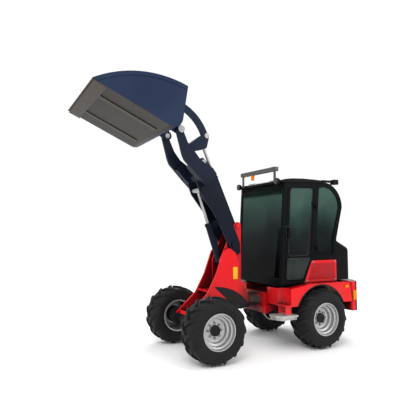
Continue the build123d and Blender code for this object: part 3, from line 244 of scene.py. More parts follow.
def cast(name, colour, dust):
    """Cast skin with pits and a film of dust."""
    iron = Finish(name, Specular_IOR_Level=0.12)
    grain = iron.noise(60.0, 6.0)
    film = iron.part_of(iron.noise(6.0, 4.0), 0.42, 0.72) * 0.3
    iron.feed(
        Base_Color=iron.mix(film, colour, dust),
        Roughness=iron.part_of(grain, 0.3, 0.7, 0.5, 0.75),
        Normal=iron.bump(grain, 0.0018, 0.5),
    )
    return iron.material


axle_black = cast("axle_black", (0.006, 0.006, 0.0065, 1), (0.05, 0.043, 0.038, 1))
engine_grey = cast("engine_grey", (0.02, 0.02, 0.021, 1), (0.06, 0.055, 0.05, 1))
dress(axle_black, "front_axle", "rear_axle")
dress(engine_grey, "engine_block")
dressed_edges(0.006, "front_axle", "rear_axle", "engine_block")

# Rims: rolled and pressed steel, welded into a deep stepped dish and sprayed silver, with a black hub
# face. Each is bolted to its hub by a ring of nuts.
WHEELS = ("front_left", "front_right", "rear_left", "rear_right")
HUB_EDGE = (0.064, 0.0615)
RIM_SILVER = (0.4, 0.4, 0.405, 1)
RIM_DIRT = (0.2, 0.19, 0.18, 1)
HUB_BLACK = (0.01, 0.01, 0.011, 1)
wheel_centre = {}
for place in WHEELS:
    low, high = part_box("rim_" + place)
    wheel_centre[place] = (low + high) / 2
    silver = Finish("rim_silver_" + place, Metallic=0.75, Specular_IOR_Level=0.4)
    dirt = silver.part_of(silver.noise(14.0, 5.0), 0.45, 0.7) * 0.25
    hub = silver.part_of(silver.reach(wheel_centre[place]), *HUB_EDGE)
    silver.feed(
        Base_Color=silver.mix(hub, silver.mix(dirt, RIM_SILVER, RIM_DIRT), HUB_BLACK),
        Roughness=silver.part_of(silver.noise(60.0, 3.0), 0.3, 0.7, 0.3, 0.42) + dirt * 0.4,
        Normal=silver.bump(silver.noise(260.0, 2.0), 0.0004, 0.4),
    )
    dress(silver.material, "rim_" + place)

# Tyres: moulded rubber over bias plies, with a rounded carcass and heavy curved bars that meet in a
# chevron. Their beads sit on the rims under air pressure.


def pick(piece):
    """Make one piece the only one that is selected."""
    bpy.ops.object.select_all(action="DESELECT")
    piece.select_set(True)
    bpy.context.view_layer.objects.active = piece


def apply_all(piece):
    """Apply a piece's modifiers in their order."""
    pick(piece)
    for modifier in list(piece.modifiers):
        bpy.ops.object.modifier_apply(modifier=modifier.name)


def eased(piece, width, angle=40):
    """Round the sharp edges of a piece for good."""
    rounding(piece, width, angle)
    apply_all(piece)
    return piece


def put_in_place():
    """Move what is selected from its object's place, turn and scale into its mesh."""
    bpy.ops.object.transform_apply(location=True, rotation=True, scale=True)


def settle(piece, name, material, body, smooth=35):
    """Finish a piece: its place in its mesh, faces outwards, soft shading, its paint and its body."""
    pick(piece)
    piece.name = name
    put_in_place()
    bpy.ops.object.mode_set(mode="EDIT")
    bpy.ops.mesh.select_all(action="SELECT")
    bpy.ops.mesh.remove_doubles(threshold=SAME_PLACE)
    bpy.ops.mesh.normals_make_consistent(inside=False)
    bpy.ops.object.mode_set(mode="OBJECT")
    bpy.ops.object.shade_smooth_by_angle(angle=math.radians(smooth))
    piece.data.materials.clear()
    piece.data.materials.append(material)
    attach(piece, body)


def copy_of(piece, step=(0, 0, 0)):
    """A copy with its own mesh, moved by a step."""
    pick(piece)
    bpy.ops.object.duplicate(linked=False)
    copy = bpy.context.object
    bpy.ops.transform.translate(value=step)
    return copy


def joined(first, *others):
    """Several pieces made one."""
    pick(first)
    for other in others:
        other.select_set(True)
    bpy.ops.object.join()
    return bpy.context.object


def drawn(places):
    """An open line of edges: one vertex put down and extruded from place to place, left in edit mode."""
    bpy.ops.object.select_all(action="DESELECT")
    bpy.ops.mesh.primitive_plane_add(size=0.001, location=places[0])
    bpy.ops.object.mode_set(mode="EDIT")
    bpy.ops.mesh.select_all(action="SELECT")
    bpy.ops.mesh.merge(type="CENTER")
    for near, far in zip(places, places[1:]):
        bpy.ops.mesh.extrude_vertices_move(TRANSFORM_OT_translate={"value": far - near})
    return bpy.context.object


LUGS = 14
LUG_WIDTH = 0.04
LUG_DEPTH = 0.045
LUG_ROUNDING = 0.006
LUG_CREASE = 50
CARCASS_SECTIONS = 72
RUBBER = (0.0105, 0.0107, 0.011, 1)
DRY_MUD = (0.032, 0.0305, 0.029, 1)
hub_point = wheel_centre["front_left"]
# columns: distance out from the wheel's middle plane, radius
carcass_line = [(0.133, 0.2), (0.134, 0.2085), (0.150, 0.232), (0.159, 0.262), (0.161, 0.288),
                (0.156, 0.315), (0.142, 0.335), (0.118, 0.348), (0.07, 0.355), (0, 0.357)]
carcass_line += [(-out, radius) for out, radius in reversed(carcass_line[:-1])]
carcass = drawn([hub_point + Vector((0, out, radius)) for out, radius in carcass_line])
# The section is closed between the beads, which leaves a ring of edges to spin.
bpy.ops.mesh.select_all(action="SELECT")
bpy.ops.mesh.edge_face_add()
bpy.ops.mesh.delete(type="ONLY_FACE")
bpy.ops.mesh.select_all(action="SELECT")
bpy.ops.mesh.spin(steps=CARCASS_SECTIONS, angle=math.tau, center=hub_point, axis=(0, 1, 0))
bpy.ops.object.mode_set(mode="OBJECT")

# The bars of the tread are drawn from the crown out over the shoulder, getting lower as they go.
# columns: distance out, distance trailing, radius of the bar's top
lug_line = [(-0.012, 0.0, 0.3785), (0.03, 0.026, 0.3795), (0.075, 0.056, 0.3775), (0.112, 0.078, 0.369),
            (0.138, 0.09, 0.354), (0.155, 0.096, 0.33)]
lug_places = [Vector((-trail, out, math.sqrt(radius ** 2 - trail ** 2))) for out, trail, radius in lug_line]
bpy.ops.object.select_all(action="DESELECT")
bpy.ops.mesh.primitive_plane_add(size=1, rotation=(math.pi / 2, 0, 0),
                                 location=hub_point + lug_places[0] - Vector((0, 0, LUG_DEPTH / 2)))
lug = bpy.context.object
lug.scale = (LUG_WIDTH, LUG_DEPTH, 1)
put_in_place()
bpy.ops.object.mode_set(mode="EDIT")
bpy.ops.mesh.select_all(action="SELECT")
for near, far in zip(lug_places, lug_places[1:]):
    bpy.ops.mesh.extrude_region_move(TRANSFORM_OT_translate={"value": far - near})
bpy.ops.object.mode_set(mode="OBJECT")
tread = [eased(lug, LUG_ROUNDING, LUG_CREASE)]
for number in range(1, 2 * LUGS):
    tread.append(copy_of(lug))
    if number % 2:
        bpy.ops.transform.resize(value=(1, -1, 1), center_override=hub_point)
    bpy.ops.transform.rotate(value=math.pi * number / LUGS, orient_axis="Y", center_override=hub_point)
    put_in_place()
for bar in tread:
    pick(bar)
    bpy.ops.object.mode_set(mode="EDIT")
    bpy.ops.mesh.select_all(action="SELECT")
    bpy.ops.mesh.normals_make_consistent(inside=False)
    bpy.ops.object.mode_set(mode="OBJECT")
first_tyre = joined(carcass, *tread)
put_in_place()
tyres = {place: copy_of(first_tyre, wheel_centre[place] - hub_point) for place in WHEELS[1:]}
tyres[WHEELS[0]] = first_tyre
for place in WHEELS:
    rubber = Finish("tyre_rubber_" + place, Specular_IOR_Level=0.08)
    reach = rubber.reach(wheel_centre[place])
    rings = rubber.single("SINE", reach * 700.0)
    wall = rubber.part_of(reach, 0.222, 0.23) * rubber.part_of(reach, 0.3, 0.29)
    splashed = rubber.part_of(reach, 0.24, 0.38, 0.3, 1.0)
    mud = rubber.part_of(rubber.noise(7.0, 6.0), 0.42, 0.75) * splashed
    rubber.feed(
        Base_Color=rubber.mix(mud * 0.5, RUBBER, DRY_MUD),
        Roughness=rubber.part_of(mud, 0.0, 1.0, 0.5, 0.8),
        Normal=rubber.bump(rings * wall * 0.4 + rubber.noise(120.0, 3.0) * 0.5, 0.0014, 0.6),
    )
    settle(tyres[place], "lugged_tyre_" + place, rubber.material, "wheel_" + place)
    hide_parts("tyre_" + place)
    dress(rubber.material, "tyre_" + place)

# Wheel nuts: forged steel nuts with rounded corners, zinc plated, turned onto studs in a ring round each
# hub until they sit on the rim's disc.


def disc(centre, radius, depth, sides, turn):
    """A short cylinder put down at a place, to be shaped further."""
    bpy.ops.object.select_all(action="DESELECT")
    bpy.ops.mesh.primitive_cylinder_add(vertices=sides, radius=radius, depth=depth, location=centre,
                                        rotation=turn)
    return bpy.context.object


ACROSS = (math.pi / 2, 0, 0)
HEXAGON = 6
NUTS = 8
NUT_RING = 0.084
NUT_RADIUS = 0.0135
NUT_DEPTH = 0.016
NUT_EDGE = 0.0015
DISC_FACE = 0.024
plated = Finish("nut_zinc", Metallic=0.9)
tarnish = plated.part_of(plated.noise(90.0, 4.0), 0.4, 0.7)
plated.feed(
    Base_Color=plated.mix(tarnish, (0.26, 0.26, 0.265, 1), (0.14, 0.13, 0.12, 1)),
    Roughness=plated.part_of(plated.noise(300.0, 2.0), 0.3, 0.7, 0.3, 0.5),
)
for place in WHEELS:
    outward = 1 if place.endswith("left") else -1
    centre = wheel_centre[place]
    seat_of_nut = centre + Vector((0, outward * (DISC_FACE + NUT_DEPTH / 2), NUT_RING))
    nut = eased(disc(seat_of_nut, NUT_RADIUS, NUT_DEPTH, HEXAGON, ACROSS), NUT_EDGE)
    put_in_place()
    ring = [nut]
    for number in range(1, NUTS):
        ring.append(copy_of(nut))
        bpy.ops.transform.rotate(value=math.tau * number / NUTS, orient_axis="Y", center_override=centre)
    settle(joined(*ring), "wheel_nuts_" + place, plated.material, "wheel_" + place)

# Counterweight: one iron casting bolted to the frame's tail, with red flanks and a black back face that
# the hood closes on. Its corners are ground round.
BACK_DEPTH = 0.145
BACK_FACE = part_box("counterweight")[0].x + BACK_DEPTH
SATIN_BLACK = (0.0022, 0.0026, 0.0034, 1)


def behind_flanks(paint):
    return paint.part_of(paint.axis(0), BACK_FACE + 0.001, BACK_FACE)


dress(sprayed_red("counterweight_paint", (SATIN_BLACK, behind_flanks)), "counterweight")
dressed_edges(0.006, "counterweight")

# Fenders: side boxes of pressed sheet that run back over the tyres, red outside and black inside their
# arches, bolted to the rear frame. A foot well is pressed into each box above its step.


def spot(x, y, z):
    """A place given in millimetres from the upright pin."""
    return Vector((PIVOT + x / 1000, y / 1000, z / 1000))


def block(centre, size, turn=0.0):
    """A cube put down at a place, brought to a size and turned about its upright axis."""
    bpy.ops.object.select_all(action="DESELECT")
    bpy.ops.mesh.primitive_cube_add(size=1, location=centre, rotation=(0, 0, turn))
    piece = bpy.context.object
    piece.scale = size
    put_in_place()
    return piece


ARCH_LIP = 0.436
WELL_SIZE = (0.14, 0.2, 0.3)
FENDER_EDGE = 0.005
FENDER_SMOOTH = 14


def inside_arch(paint):
    return paint.part_of(paint.reach(wheel_centre["rear_left"]), ARCH_LIP + 0.001, ARCH_LIP)


fender_paint = sprayed_red("fender_paint", (SATIN_BLACK, inside_arch))
dress(fender_paint, "rear_fenders")
fenders = copy_of(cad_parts["rear_fenders"])
bpy.ops.object.mode_set(mode="EDIT")
bpy.ops.mesh.select_all(action="SELECT")
bpy.ops.mesh.remove_doubles(threshold=SAME_PLACE)
bpy.ops.object.mode_set(mode="OBJECT")
for hand in (1, -1):
    well = block(spot(-220, hand * 530, 730), WELL_SIZE)
    cut = fenders.modifiers.new("well", "BOOLEAN")
    cut.operation = "DIFFERENCE"
    cut.solver = "EXACT"
    cut.object = well
    apply_all(fenders)
    pick(well)
    bpy.ops.object.delete()
settle(eased(fenders, FENDER_EDGE), "pressed_fenders", fender_paint, "rear_body", FENDER_SMOOTH)
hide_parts("rear_fenders")

# Front arches: the skins of the front frame are painted black where the tyres run past them, over the red
# paint up to a flattened arch.
# This black is painted shade, standing for the dark underside of the frame and the wheels' shadow seen
# through an arch.
ARCH_MIDDLE = spot(560, 0, 380)
ARCH_TIP = spot(560, 0, 805)
ARCH_RISE = ARCH_TIP.z - ARCH_MIDDLE.z
ARCH_FLATTENING = 0.75
FRONT_SLOPE = 1.14
SKIN_FACE = 0.163
SHADE_EDGE = 0.003


def front_arch_shade(paint):
    """The outer faces of the skins, under the arch and behind the slope that ends it at the front, which
    get the black painted shade.
    """
    along = paint.axis(0) - ARCH_TIP.x
    up = paint.axis(2) - ARCH_MIDDLE.z
    flat = along * ARCH_FLATTENING
    reach = paint.single("SQRT", flat * flat + up * up)
    below = paint.part_of(reach, ARCH_RISE, ARCH_RISE + SHADE_EDGE, 1.0, 0.0)
    behind = paint.part_of(along + (ARCH_RISE - up) * FRONT_SLOPE, 0.0, SHADE_EDGE, 1.0, 0.0)
    outside = paint.part_of(paint.single("ABSOLUTE", paint.axis(1)), SKIN_FACE - 0.002, SKIN_FACE)
    return below * behind * outside


dress(sprayed_red("front_frame_paint", (SATIN_BLACK, front_arch_shade)), "front_frame")

# Blank plates: yellow coated sheet, riveted to the outer skins of the front frame. Each is a plain strip
# with rounded corners that stands a little proud of the skin.


def outlined(outline, y, corner, segments):
    """A face on an upright plane with its corners rounded, all selected in edit mode. The outline gives
    the distance from the upright pin and the height, in millimetres."""
    piece = drawn([spot(x, y, z) for x, z in outline])
    bpy.ops.mesh.select_all(action="SELECT")
    bpy.ops.mesh.edge_face_add()
    bpy.ops.mesh.bevel(offset=corner / 1000, segments=segments, affect="VERTICES")
    bpy.ops.mesh.select_all(action="SELECT")
    return piece


def pulled_out(piece, depth):
    """A flat piece in edit mode given its thickness."""
    bpy.ops.mesh.extrude_region_move(TRANSFORM_OT_translate={"value": (0, depth / 1000, 0)})
    bpy.ops.object.mode_set(mode="OBJECT")
    return piece


def plate(outline, y, depth, corner):
    """A flat plate with rounded corners."""
    return pulled_out(outlined(outline, y, corner, 5), depth)


SIDES = ((1, "left"), (-1, "right"))
SHEET_THICK = 2
SHEET_EDGE = 0.0006
BLANK_FACE = 165
BLANK_CORNER = 8
BLANK_SHAPE = [(212, 890), (212, 1042), (278, 1042), (278, 890)]
yellow = Finish("plate_yellow", Specular_IOR_Level=0.2)
scuff = yellow.part_of(yellow.noise(45.0, 5.0), 0.5, 0.75)
yellow.feed(
    Base_Color=yellow.mix(scuff * 0.5, (0.75, 0.4, 0.008, 1), (0.42, 0.25, 0.03, 1)),
    Roughness=yellow.part_of(scuff, 0.0, 1.0, 0.35, 0.6),
)
for hand, name in SIDES:
    blank = plate(BLANK_SHAPE, hand * BLANK_FACE, hand * SHEET_THICK, BLANK_CORNER)
    settle(eased(blank, SHEET_EDGE), "blank_plate_" + name, yellow.material, "front_body")

# Steps: pressed aluminium treads with a row pattern, left bare, on red painted hangers that are bolted
# under the side boxes.
TREAD_DEPTH = 0.026
TREAD_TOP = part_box("steps")[0].z + TREAD_DEPTH
alloy = Finish("step_alloy")
worn = alloy.part_of(alloy.noise(6.0, 4.0), 0.4, 0.7)
hanger = alloy.part_of(alloy.axis(2), TREAD_TOP, TREAD_TOP + 0.002)
bare = alloy.mix(worn * 0.5, (0.48, 0.48, 0.47, 1), (0.28, 0.27, 0.26, 1))
alloy.feed(
    Base_Color=alloy.mix(hanger, bare, RED),
    Metallic=0.7 - hanger * 0.7,
    Roughness=alloy.part_of(alloy.noise(70.0, 3.0), 0.3, 0.7, 0.36, 0.5) + worn * 0.1,
    Normal=alloy.bump(alloy.waves("X", 20.0), 0.002, 0.5),
)
dress(alloy.material, "steps")
dressed_edges(0.003, "steps")

# Step lips: the edges of each tread are folded down and rounded, which stiffens it. They are bent from
# the same sheet and welded at the corner.
LIP_THICK = 0.004
LIP_HEIGHT = 0.034
LIP_MIDDLE = 424
LIP_EDGE = 0.0012
# columns: middle of the lip along the machine and across it, its length, its turn in degrees
STEP_LIPS = [(-252, 622, 0.215, 0), (-118, 590, 0.088, -53), (-94, 495, 0.12, 90)]
for hand, name in SIDES:
    lips = []
    for x, y, length, turn in STEP_LIPS:
        size = (length, LIP_THICK, LIP_HEIGHT)
        lip = block(spot(x, hand * y, LIP_MIDDLE), size, math.radians(hand * turn))
        lips.append(eased(lip, LIP_EDGE))
    settle(joined(*lips), "step_lips_" + name, alloy.material, "rear_body")

# Grille mesh: perforated sheet over the slots of the side covers, sprayed in a dull red and spot welded
# to their outer faces.


def perforated(name, gloss, sheet, hole_shade, rough, bare):
    """Perforated sheet: round holes in rows, painted dark as shade of what lies behind them, and how much
    of the sheet shows where a hole is.
    """
    finish = Finish(name, Specular_IOR_Level=gloss)
    holes = finish.cells(140.0, 0.1)
    open_spot = finish.part_of(holes, 0.3, 0.36, 1.0, 0.0)
    finish.feed(
        Base_Color=finish.mix(open_spot, sheet, hole_shade),
        Roughness=finish.part_of(open_spot, 0.0, 1.0, rough, 0.8),
        Normal=finish.bump(holes, 0.001, 0.5),
    )
    if bare < 1:
        finish.feed(Alpha=finish.part_of(open_spot, 0.0, 1.0, 1.0, bare))
    return finish.material


COVER_FACE = 500.4
GRILLE_CORNER = 12
GRILLE_SHAPE = [(-676, 868), (-733, 1078), (-1133, 1078), (-1133, 868)]
mesh_red = perforated("mesh_red", 0.1, (0.34, 0.009, 0.013, 1), (0.07, 0.002, 0.003, 1), 0.4, 0.25)
for hand, name in SIDES:
    sheet = plate(GRILLE_SHAPE, hand * COVER_FACE, hand * SHEET_THICK, GRILLE_CORNER)
    settle(eased(sheet, SHEET_EDGE), "grille_mesh_" + name, mesh_red, "rear_body")

# Cover screws: zinc plated hexagon heads on washers, turned into the frame from outside at the four
# corners of each side cover.
HEAD_MIDDLE = 505
HEAD_EDGE = 0.001
WASHER_MIDDLE = 501
WASHER_EDGE = 0.0005
# columns: radius, depth, sides
HEAD = (0.009, 0.007, HEXAGON)
WASHER = (0.014, 0.002, 20)
# columns: distance from the upright pin, height
SCREWS = [(-645, 852), (-757, 1094), (-1148, 1094), (-1148, 852)]
for hand, name in SIDES:
    heads = []
    for x, z in SCREWS:
        heads.append(eased(disc(spot(x, hand * HEAD_MIDDLE, z), *HEAD, ACROSS), HEAD_EDGE))
        heads.append(eased(disc(spot(x, hand * WASHER_MIDDLE, z), *WASHER, ACROSS), WASHER_EDGE))
    settle(joined(*heads), "cover_screws_" + name, plated.material, "rear_body")

# Hood: one moulded cover in a deep gloss black with a louvred back, hinged at the cab's back wall and
# latched on the casting.
hood_gloss = sprayed("hood_gloss", (0.0022, 0.0022, 0.0027, 1), (0.0032, 0.0032, 0.004, 1),
                     (0.015, 0.015, 0.015, 1), 0.12, 0.0, 0.08)
dress(hood_gloss, "hood")

# Hood mesh: black perforated sheet that keeps chaff out of the cooler, riveted inside the hood behind its
# louvres.
# Its black is painted shade that darkens what shows through the louvres.
HOOD_SHADE_SHEET_SIZE = (0.002, 0.62, 0.31)
shade_mesh_black = perforated("shade_mesh_black", 0.06, (0.006, 0.006, 0.0065, 1), (0.001, 0.001, 0.001, 1), 0.45, 1)
hood_shade_sheet = block(spot(-1451.5, 0, 1012), HOOD_SHADE_SHEET_SIZE)
settle(eased(hood_shade_sheet, SHEET_EDGE), "hood_shade_mesh", shade_mesh_black, "hood")

# Cab frame, doors and floor: folded steel sheet and tube, painted satin black, welded into one cage.
# The doors hang on pin hinges at their rear edges.
black_paint = sprayed("cab_black", SATIN_BLACK, (0.003, 0.0034, 0.0044, 1), (0.015, 0.014, 0.013, 1),
                      0.34, 0.0, 0.04)
cab_steel = ("cab_side_left", "cab_side_right", "door_left", "door_right", "cab_front", "cab_back",
             "cab_floor")
dress(black_paint, *cab_steel)
dressed_edges(0.005, *cab_steel)

# Windshield, quarter and rear glass: green tinted safety glass with painted shade, darker towards the waist
# where the cab's inside is dark behind it, and a brighter green painted reflection towards the top. The
# panes are bonded into the cab's openings.
TINT_FOOT = 1.2
TINT_TOP = 2.1
WAIST_SHADE = (0.0018, 0.002, 0.0026, 1)
MIDDLE_TINT = (0.007, 0.012, 0.0135, 1)
HEAD_REFLECTION = (0.034, 0.075, 0.06, 1)
glass = Finish("green_glass", Roughness=0.04, IOR=1.45, Specular_IOR_Level=0.07)
# Cloudy patches that break up the painted reflection.
cloud = glass.part_of(glass.noise(2.6, 5.0), 0.35, 0.7)
up = glass.part_of(glass.axis(2) + cloud * 0.16, TINT_FOOT, TINT_TOP)
low_shade = glass.mix(glass.part_of(up, 0.0, 0.4), WAIST_SHADE, MIDDLE_TINT)
glass.feed(
    Base_Color=glass.mix(glass.part_of(up, 0.4, 0.9), low_shade, HEAD_REFLECTION),
    Alpha=glass.part_of(up, 0.2, 0.8, 0.86, 0.9),
)
dress(glass.material, "door_glass_left", "door_glass_right", "quarter_glass", "windshield", "rear_glass")

# Door panes: the doors' glass is bonded over the outside of their frames, and a smaller dark pane closes
# the foot of each door.
DOOR_FACE = 500.5
PANE_THICK = 4
PANE_EDGE = 0.001
PANE_CORNER = 40
FOOT_CORNER = 25
PANE_SHAPE = [(-346, 1188), (-396, 2060), (-768, 2070), (-684, 1188)]
FOOT_SHAPE = [(-312, 890), (-327, 1150), (-698, 1150), (-580, 890)]
foot_tint = Finish("foot_glass", Specular_IOR_Level=0.07)
streaks = foot_tint.part_of(foot_tint.noise(5.0, 5.0), 0.35, 0.7)
foot_tint.feed(
    Base_Color=foot_tint.mix(streaks, (0.011, 0.0155, 0.0145, 1), (0.022, 0.029, 0.027, 1)),
    Roughness=foot_tint.part_of(streaks, 0.0, 1.0, 0.06, 0.14),
)
for hand, name in SIDES:
    upper = plate(PANE_SHAPE, hand * DOOR_FACE, hand * PANE_THICK, PANE_CORNER)
    settle(eased(upper, PANE_EDGE), "door_pane_" + name, glass.material, "door_" + name)
    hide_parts("door_glass_" + name)
    lower = plate(FOOT_SHAPE, hand * DOOR_FACE, hand * PANE_THICK, FOOT_CORNER)
    settle(eased(lower, PANE_EDGE), "door_foot_pane_" + name, foot_tint.material, "door_" + name)

# Door seals and handle rings: extruded rubber set round each pane, and a grey moulded ring screwed to the
# door behind its handle.


def strip_round(outline, y, depth, corner, width):
    """A closed strip that follows an outline on an upright plane."""
    piece = outlined(outline, y, corner, 6)
    bpy.ops.mesh.inset(thickness=width / 1000)
    bpy.ops.mesh.delete(type="FACE")
    bpy.ops.mesh.select_all(action="SELECT")
    return pulled_out(piece, depth)


# columns: outline, how far it stands out, corner radius, width
SEALS = [
    ([(-338, 1180), (-389, 2068), (-776, 2078), (-676, 1180)], 6, 48, 9),
    ([(-304, 882), (-320, 1158), (-712, 1158), (-566, 882)], 6, 30, 7),
    ([(-307, 1390), (-315, 1560), (-375, 1560), (-367, 1390)], 7, 30, 6),
]
SEAL_EDGE = 0.0015
seal_rubber = Finish("seal_rubber", Specular_IOR_Level=0.1)
bloom = seal_rubber.part_of(seal_rubber.noise(22.0, 4.0), 0.4, 0.7)
seal_rubber.feed(
    Base_Color=seal_rubber.mix(bloom, (0.014, 0.016, 0.019, 1), (0.028, 0.031, 0.034, 1)),
    Roughness=seal_rubber.part_of(bloom, 0.0, 1.0, 0.4, 0.6),
)
for hand, name in SIDES:
    strips = []
    for outline, depth, corner, width in SEALS:
        strip = strip_round(outline, hand * DOOR_FACE, hand * depth, corner, width)
        strips.append(eased(strip, SEAL_EDGE))
    settle(joined(*strips), "door_seals_" + name, seal_rubber.material, "door_" + name)

# Steering column: moulded covers over a steel tube with the wheel on top, bolted to the footwell floor.
# The plastic has a fine leather grain.


def moulded(name, colour, rough, grain_scale, depth):
    """Moulded plastic with a leather-like grain."""
    plastic = Finish(name, Specular_IOR_Level=0.06)
    tone = plastic.part_of(plastic.noise(5.0, 4.0), 0.35, 0.7)
    paler = tuple(part * 1.8 for part in colour[:3]) + (1,)
    plastic.feed(
        Base_Color=plastic.mix(tone * 0.4, colour, paler),
        Roughness=plastic.part_of(tone, 0.0, 1.0, rough, rough + 0.12),
        Normal=plastic.bump(plastic.cells(grain_scale), depth, 0.4),
    )
    return plastic.material


dress(moulded("cab_plastic", (0.007, 0.007, 0.008, 1), 0.5, 420.0, 0.0005), "steering_column")
dressed_edges(0.004, "steering_column")

# Seat: a cushion and a backrest of foam in a sewn black cover, on a moulded bellows that hides the springs.
# The bellows is bolted to the cab's deck.
BELLOWS_SIZE = (0.3, 0.345, 0.016)
FOLDS = 6
FOLD_RISE = 0.0115
FOLD_PINCH = 0.92
FOLD_EDGE = 0.003
bellows_black = moulded("bellows_black", (0.006, 0.006, 0.0065, 1), 0.55, 300.0, 0.0006)
bellows = block(spot(-920, 0, 1108), BELLOWS_SIZE)
bpy.ops.object.mode_set(mode="EDIT")
bpy.ops.mesh.select_all(action="DESELECT")
bpy.ops.object.mode_set(mode="OBJECT")
for face in bellows.data.polygons:
    face.select = face.normal.z > 0.9
bpy.ops.object.mode_set(mode="EDIT")
for fold in range(FOLDS):
    wide = 1 / FOLD_PINCH if fold % 2 else FOLD_PINCH
    bpy.ops.mesh.extrude_region_move(TRANSFORM_OT_translate={"value": (0, 0, FOLD_RISE)})
    bpy.ops.transform.resize(value=(wide, wide, 1))
bpy.ops.object.mode_set(mode="OBJECT")
settle(eased(bellows, FOLD_EDGE), "seat_bellows", bellows_black, "rear_body")
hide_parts("seat")
dress(bellows_black, "seat")

COVER_BLACK = (0.009, 0.009, 0.0095, 1)
SEAM_BLACK = (0.003, 0.003, 0.003, 1)
cover = Finish("seat_cover", Specular_IOR_Level=0.1)
seam = cover.part_of(cover.waves("Y", 5.2), 0.0, 0.12, 1.0, 0.0)
cover.feed(
    Base_Color=cover.mix(seam * 0.6, COVER_BLACK, SEAM_BLACK),
    Roughness=cover.part_of(cover.noise(40.0, 4.0), 0.3, 0.7, 0.6, 0.8),
    Normal=cover.bump(cover.cells(420.0) * 0.15 - seam, 0.004, 0.5),
)
PAD_CORNER = 0.02
PAD_GRID = 0.009
PAD_PRESSURE = 4
PAD_FRAMES = 20
PAD_RISE = 0.014


def swollen(pad):
    """Let the cloth solver blow a pad up, and hold each of its points to a small rise."""
    before = [vertex.co.copy() for vertex in pad.data.vertices]
    swell = pad.modifiers.new("swell", "CLOTH")
    swell.settings.use_pressure = True
    swell.settings.uniform_pressure_force = PAD_PRESSURE
    swell.settings.effector_weights.gravity = 0
    for number in range(1, PAD_FRAMES + 1):
        bpy.context.scene.frame_set(number)
    apply_all(pad)
    for vertex, start in zip(pad.data.vertices, before):
        step = vertex.co - start
        vertex.co = start + step * min(1, PAD_RISE / max(step.length, 0.000001))
    bpy.context.scene.frame_set(1)


def stuffed(name, size, centre, lean):
    """A sewn cover filled with foam: a rounded block is remeshed and swollen, then leant and put in its
    place."""
    pad = block((0, 0, 0), size)
    corners = pad.modifiers.new("corners", "BEVEL")
    corners.width = PAD_CORNER
    corners.segments = 3
    grid = pad.modifiers.new("grid", "REMESH")
    grid.mode = "VOXEL"
    grid.voxel_size = PAD_GRID
    apply_all(pad)
    swollen(pad)
    fine = pad.modifiers.new("fine", "SUBSURF")
    fine.levels = 1
    fine.render_levels = 1
    apply_all(pad)
    bpy.ops.transform.rotate(value=math.radians(lean), orient_axis="Y", center_override=(0, 0, 0))
    bpy.ops.transform.translate(value=centre)
    settle(pad, name, cover.material, "rear_body", 60)


stuffed("seat_cushion", (0.3, 0.41, 0.065), spot(-875, 0, 1238), -3.5)
stuffed("seat_backrest", (0.055, 0.4, 0.44), spot(-1088, 0, 1535), -8)

# Roof cap: one moulded shell, low and slightly crowned, with two shallow ribs along it. It is screwed to
# the tops of the side frames and overhangs the windshield.
ROOF_HALF_WIDTH = 515
ROOF_CORNER = 1
ROOF_EDGE = 0.012
ROOF_SMOOTH = 40
RIB_RISE = 6
RIB_WIDTH = 120
RIB_EDGE = 0.004
RIB_SIDES = (300, -180)
# columns: distance from the upright pin, height
crown_line = [(-255, 2128), (-255, 2158), (-300, 2176), (-420, 2190), (-600, 2196), (-800, 2193),
              (-1000, 2184), (-1000, 2166)]
rib_line = [(-295, 2128), (-295, 2158)]
rib_line += [(x, z + RIB_RISE) for x, z in crown_line[2:-1]]
rib_line += [(-990, 2166)]
roof_shell = moulded("roof_shell", (0.004, 0.004, 0.005, 1), 0.32, 500.0, 0.0003)
dress(roof_shell, "roof")
cap = eased(plate(crown_line, ROOF_HALF_WIDTH, -2 * ROOF_HALF_WIDTH, ROOF_CORNER), ROOF_EDGE)
ribs = [eased(plate(rib_line, side, -RIB_WIDTH, ROOF_CORNER), RIB_EDGE) for side in RIB_SIDES]
settle(joined(cap, *ribs), "roof_cap", roof_shell, "rear_body", ROOF_SMOOTH)
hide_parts("roof")

# Visor: four tilted slats of black plastic across the top of the windshield, riveted between two side
# straps under the roof's front edge.
SLATS = 4
SLAT_LINE = -292
TOP_SLAT = 2062
SLAT_PITCH = 20
SLAT_SIZE = (0.022, 0.88, 0.004)
SLAT_TILT = -25
SLAT_EDGE = 0.0012
STRAP_SIDES = (432, -432)
STRAP_THICK = 4
STRAP_CORNER = 3
STRAP_EDGE = 0.0008
STRAP_SHAPE = [(-283, 1992), (-286, 2100), (-300, 2100), (-297, 1992)]
visor_black = moulded("visor_black", (0.004, 0.004, 0.0045, 1), 0.4, 400.0, 0.0004)
visor = []
for number in range(SLATS):
    middle = spot(SLAT_LINE, 0, TOP_SLAT - SLAT_PITCH * number)
    slat = block(middle, SLAT_SIZE)
    bpy.ops.transform.rotate(value=math.radians(SLAT_TILT), orient_axis="Y", center_override=middle)
    visor.append(eased(slat, SLAT_EDGE))
for side in STRAP_SIDES:
    visor.append(eased(plate(STRAP_SHAPE, side, STRAP_THICK, STRAP_CORNER), STRAP_EDGE))
settle(joined(*visor), "visor_slats", visor_black, "rear_body")

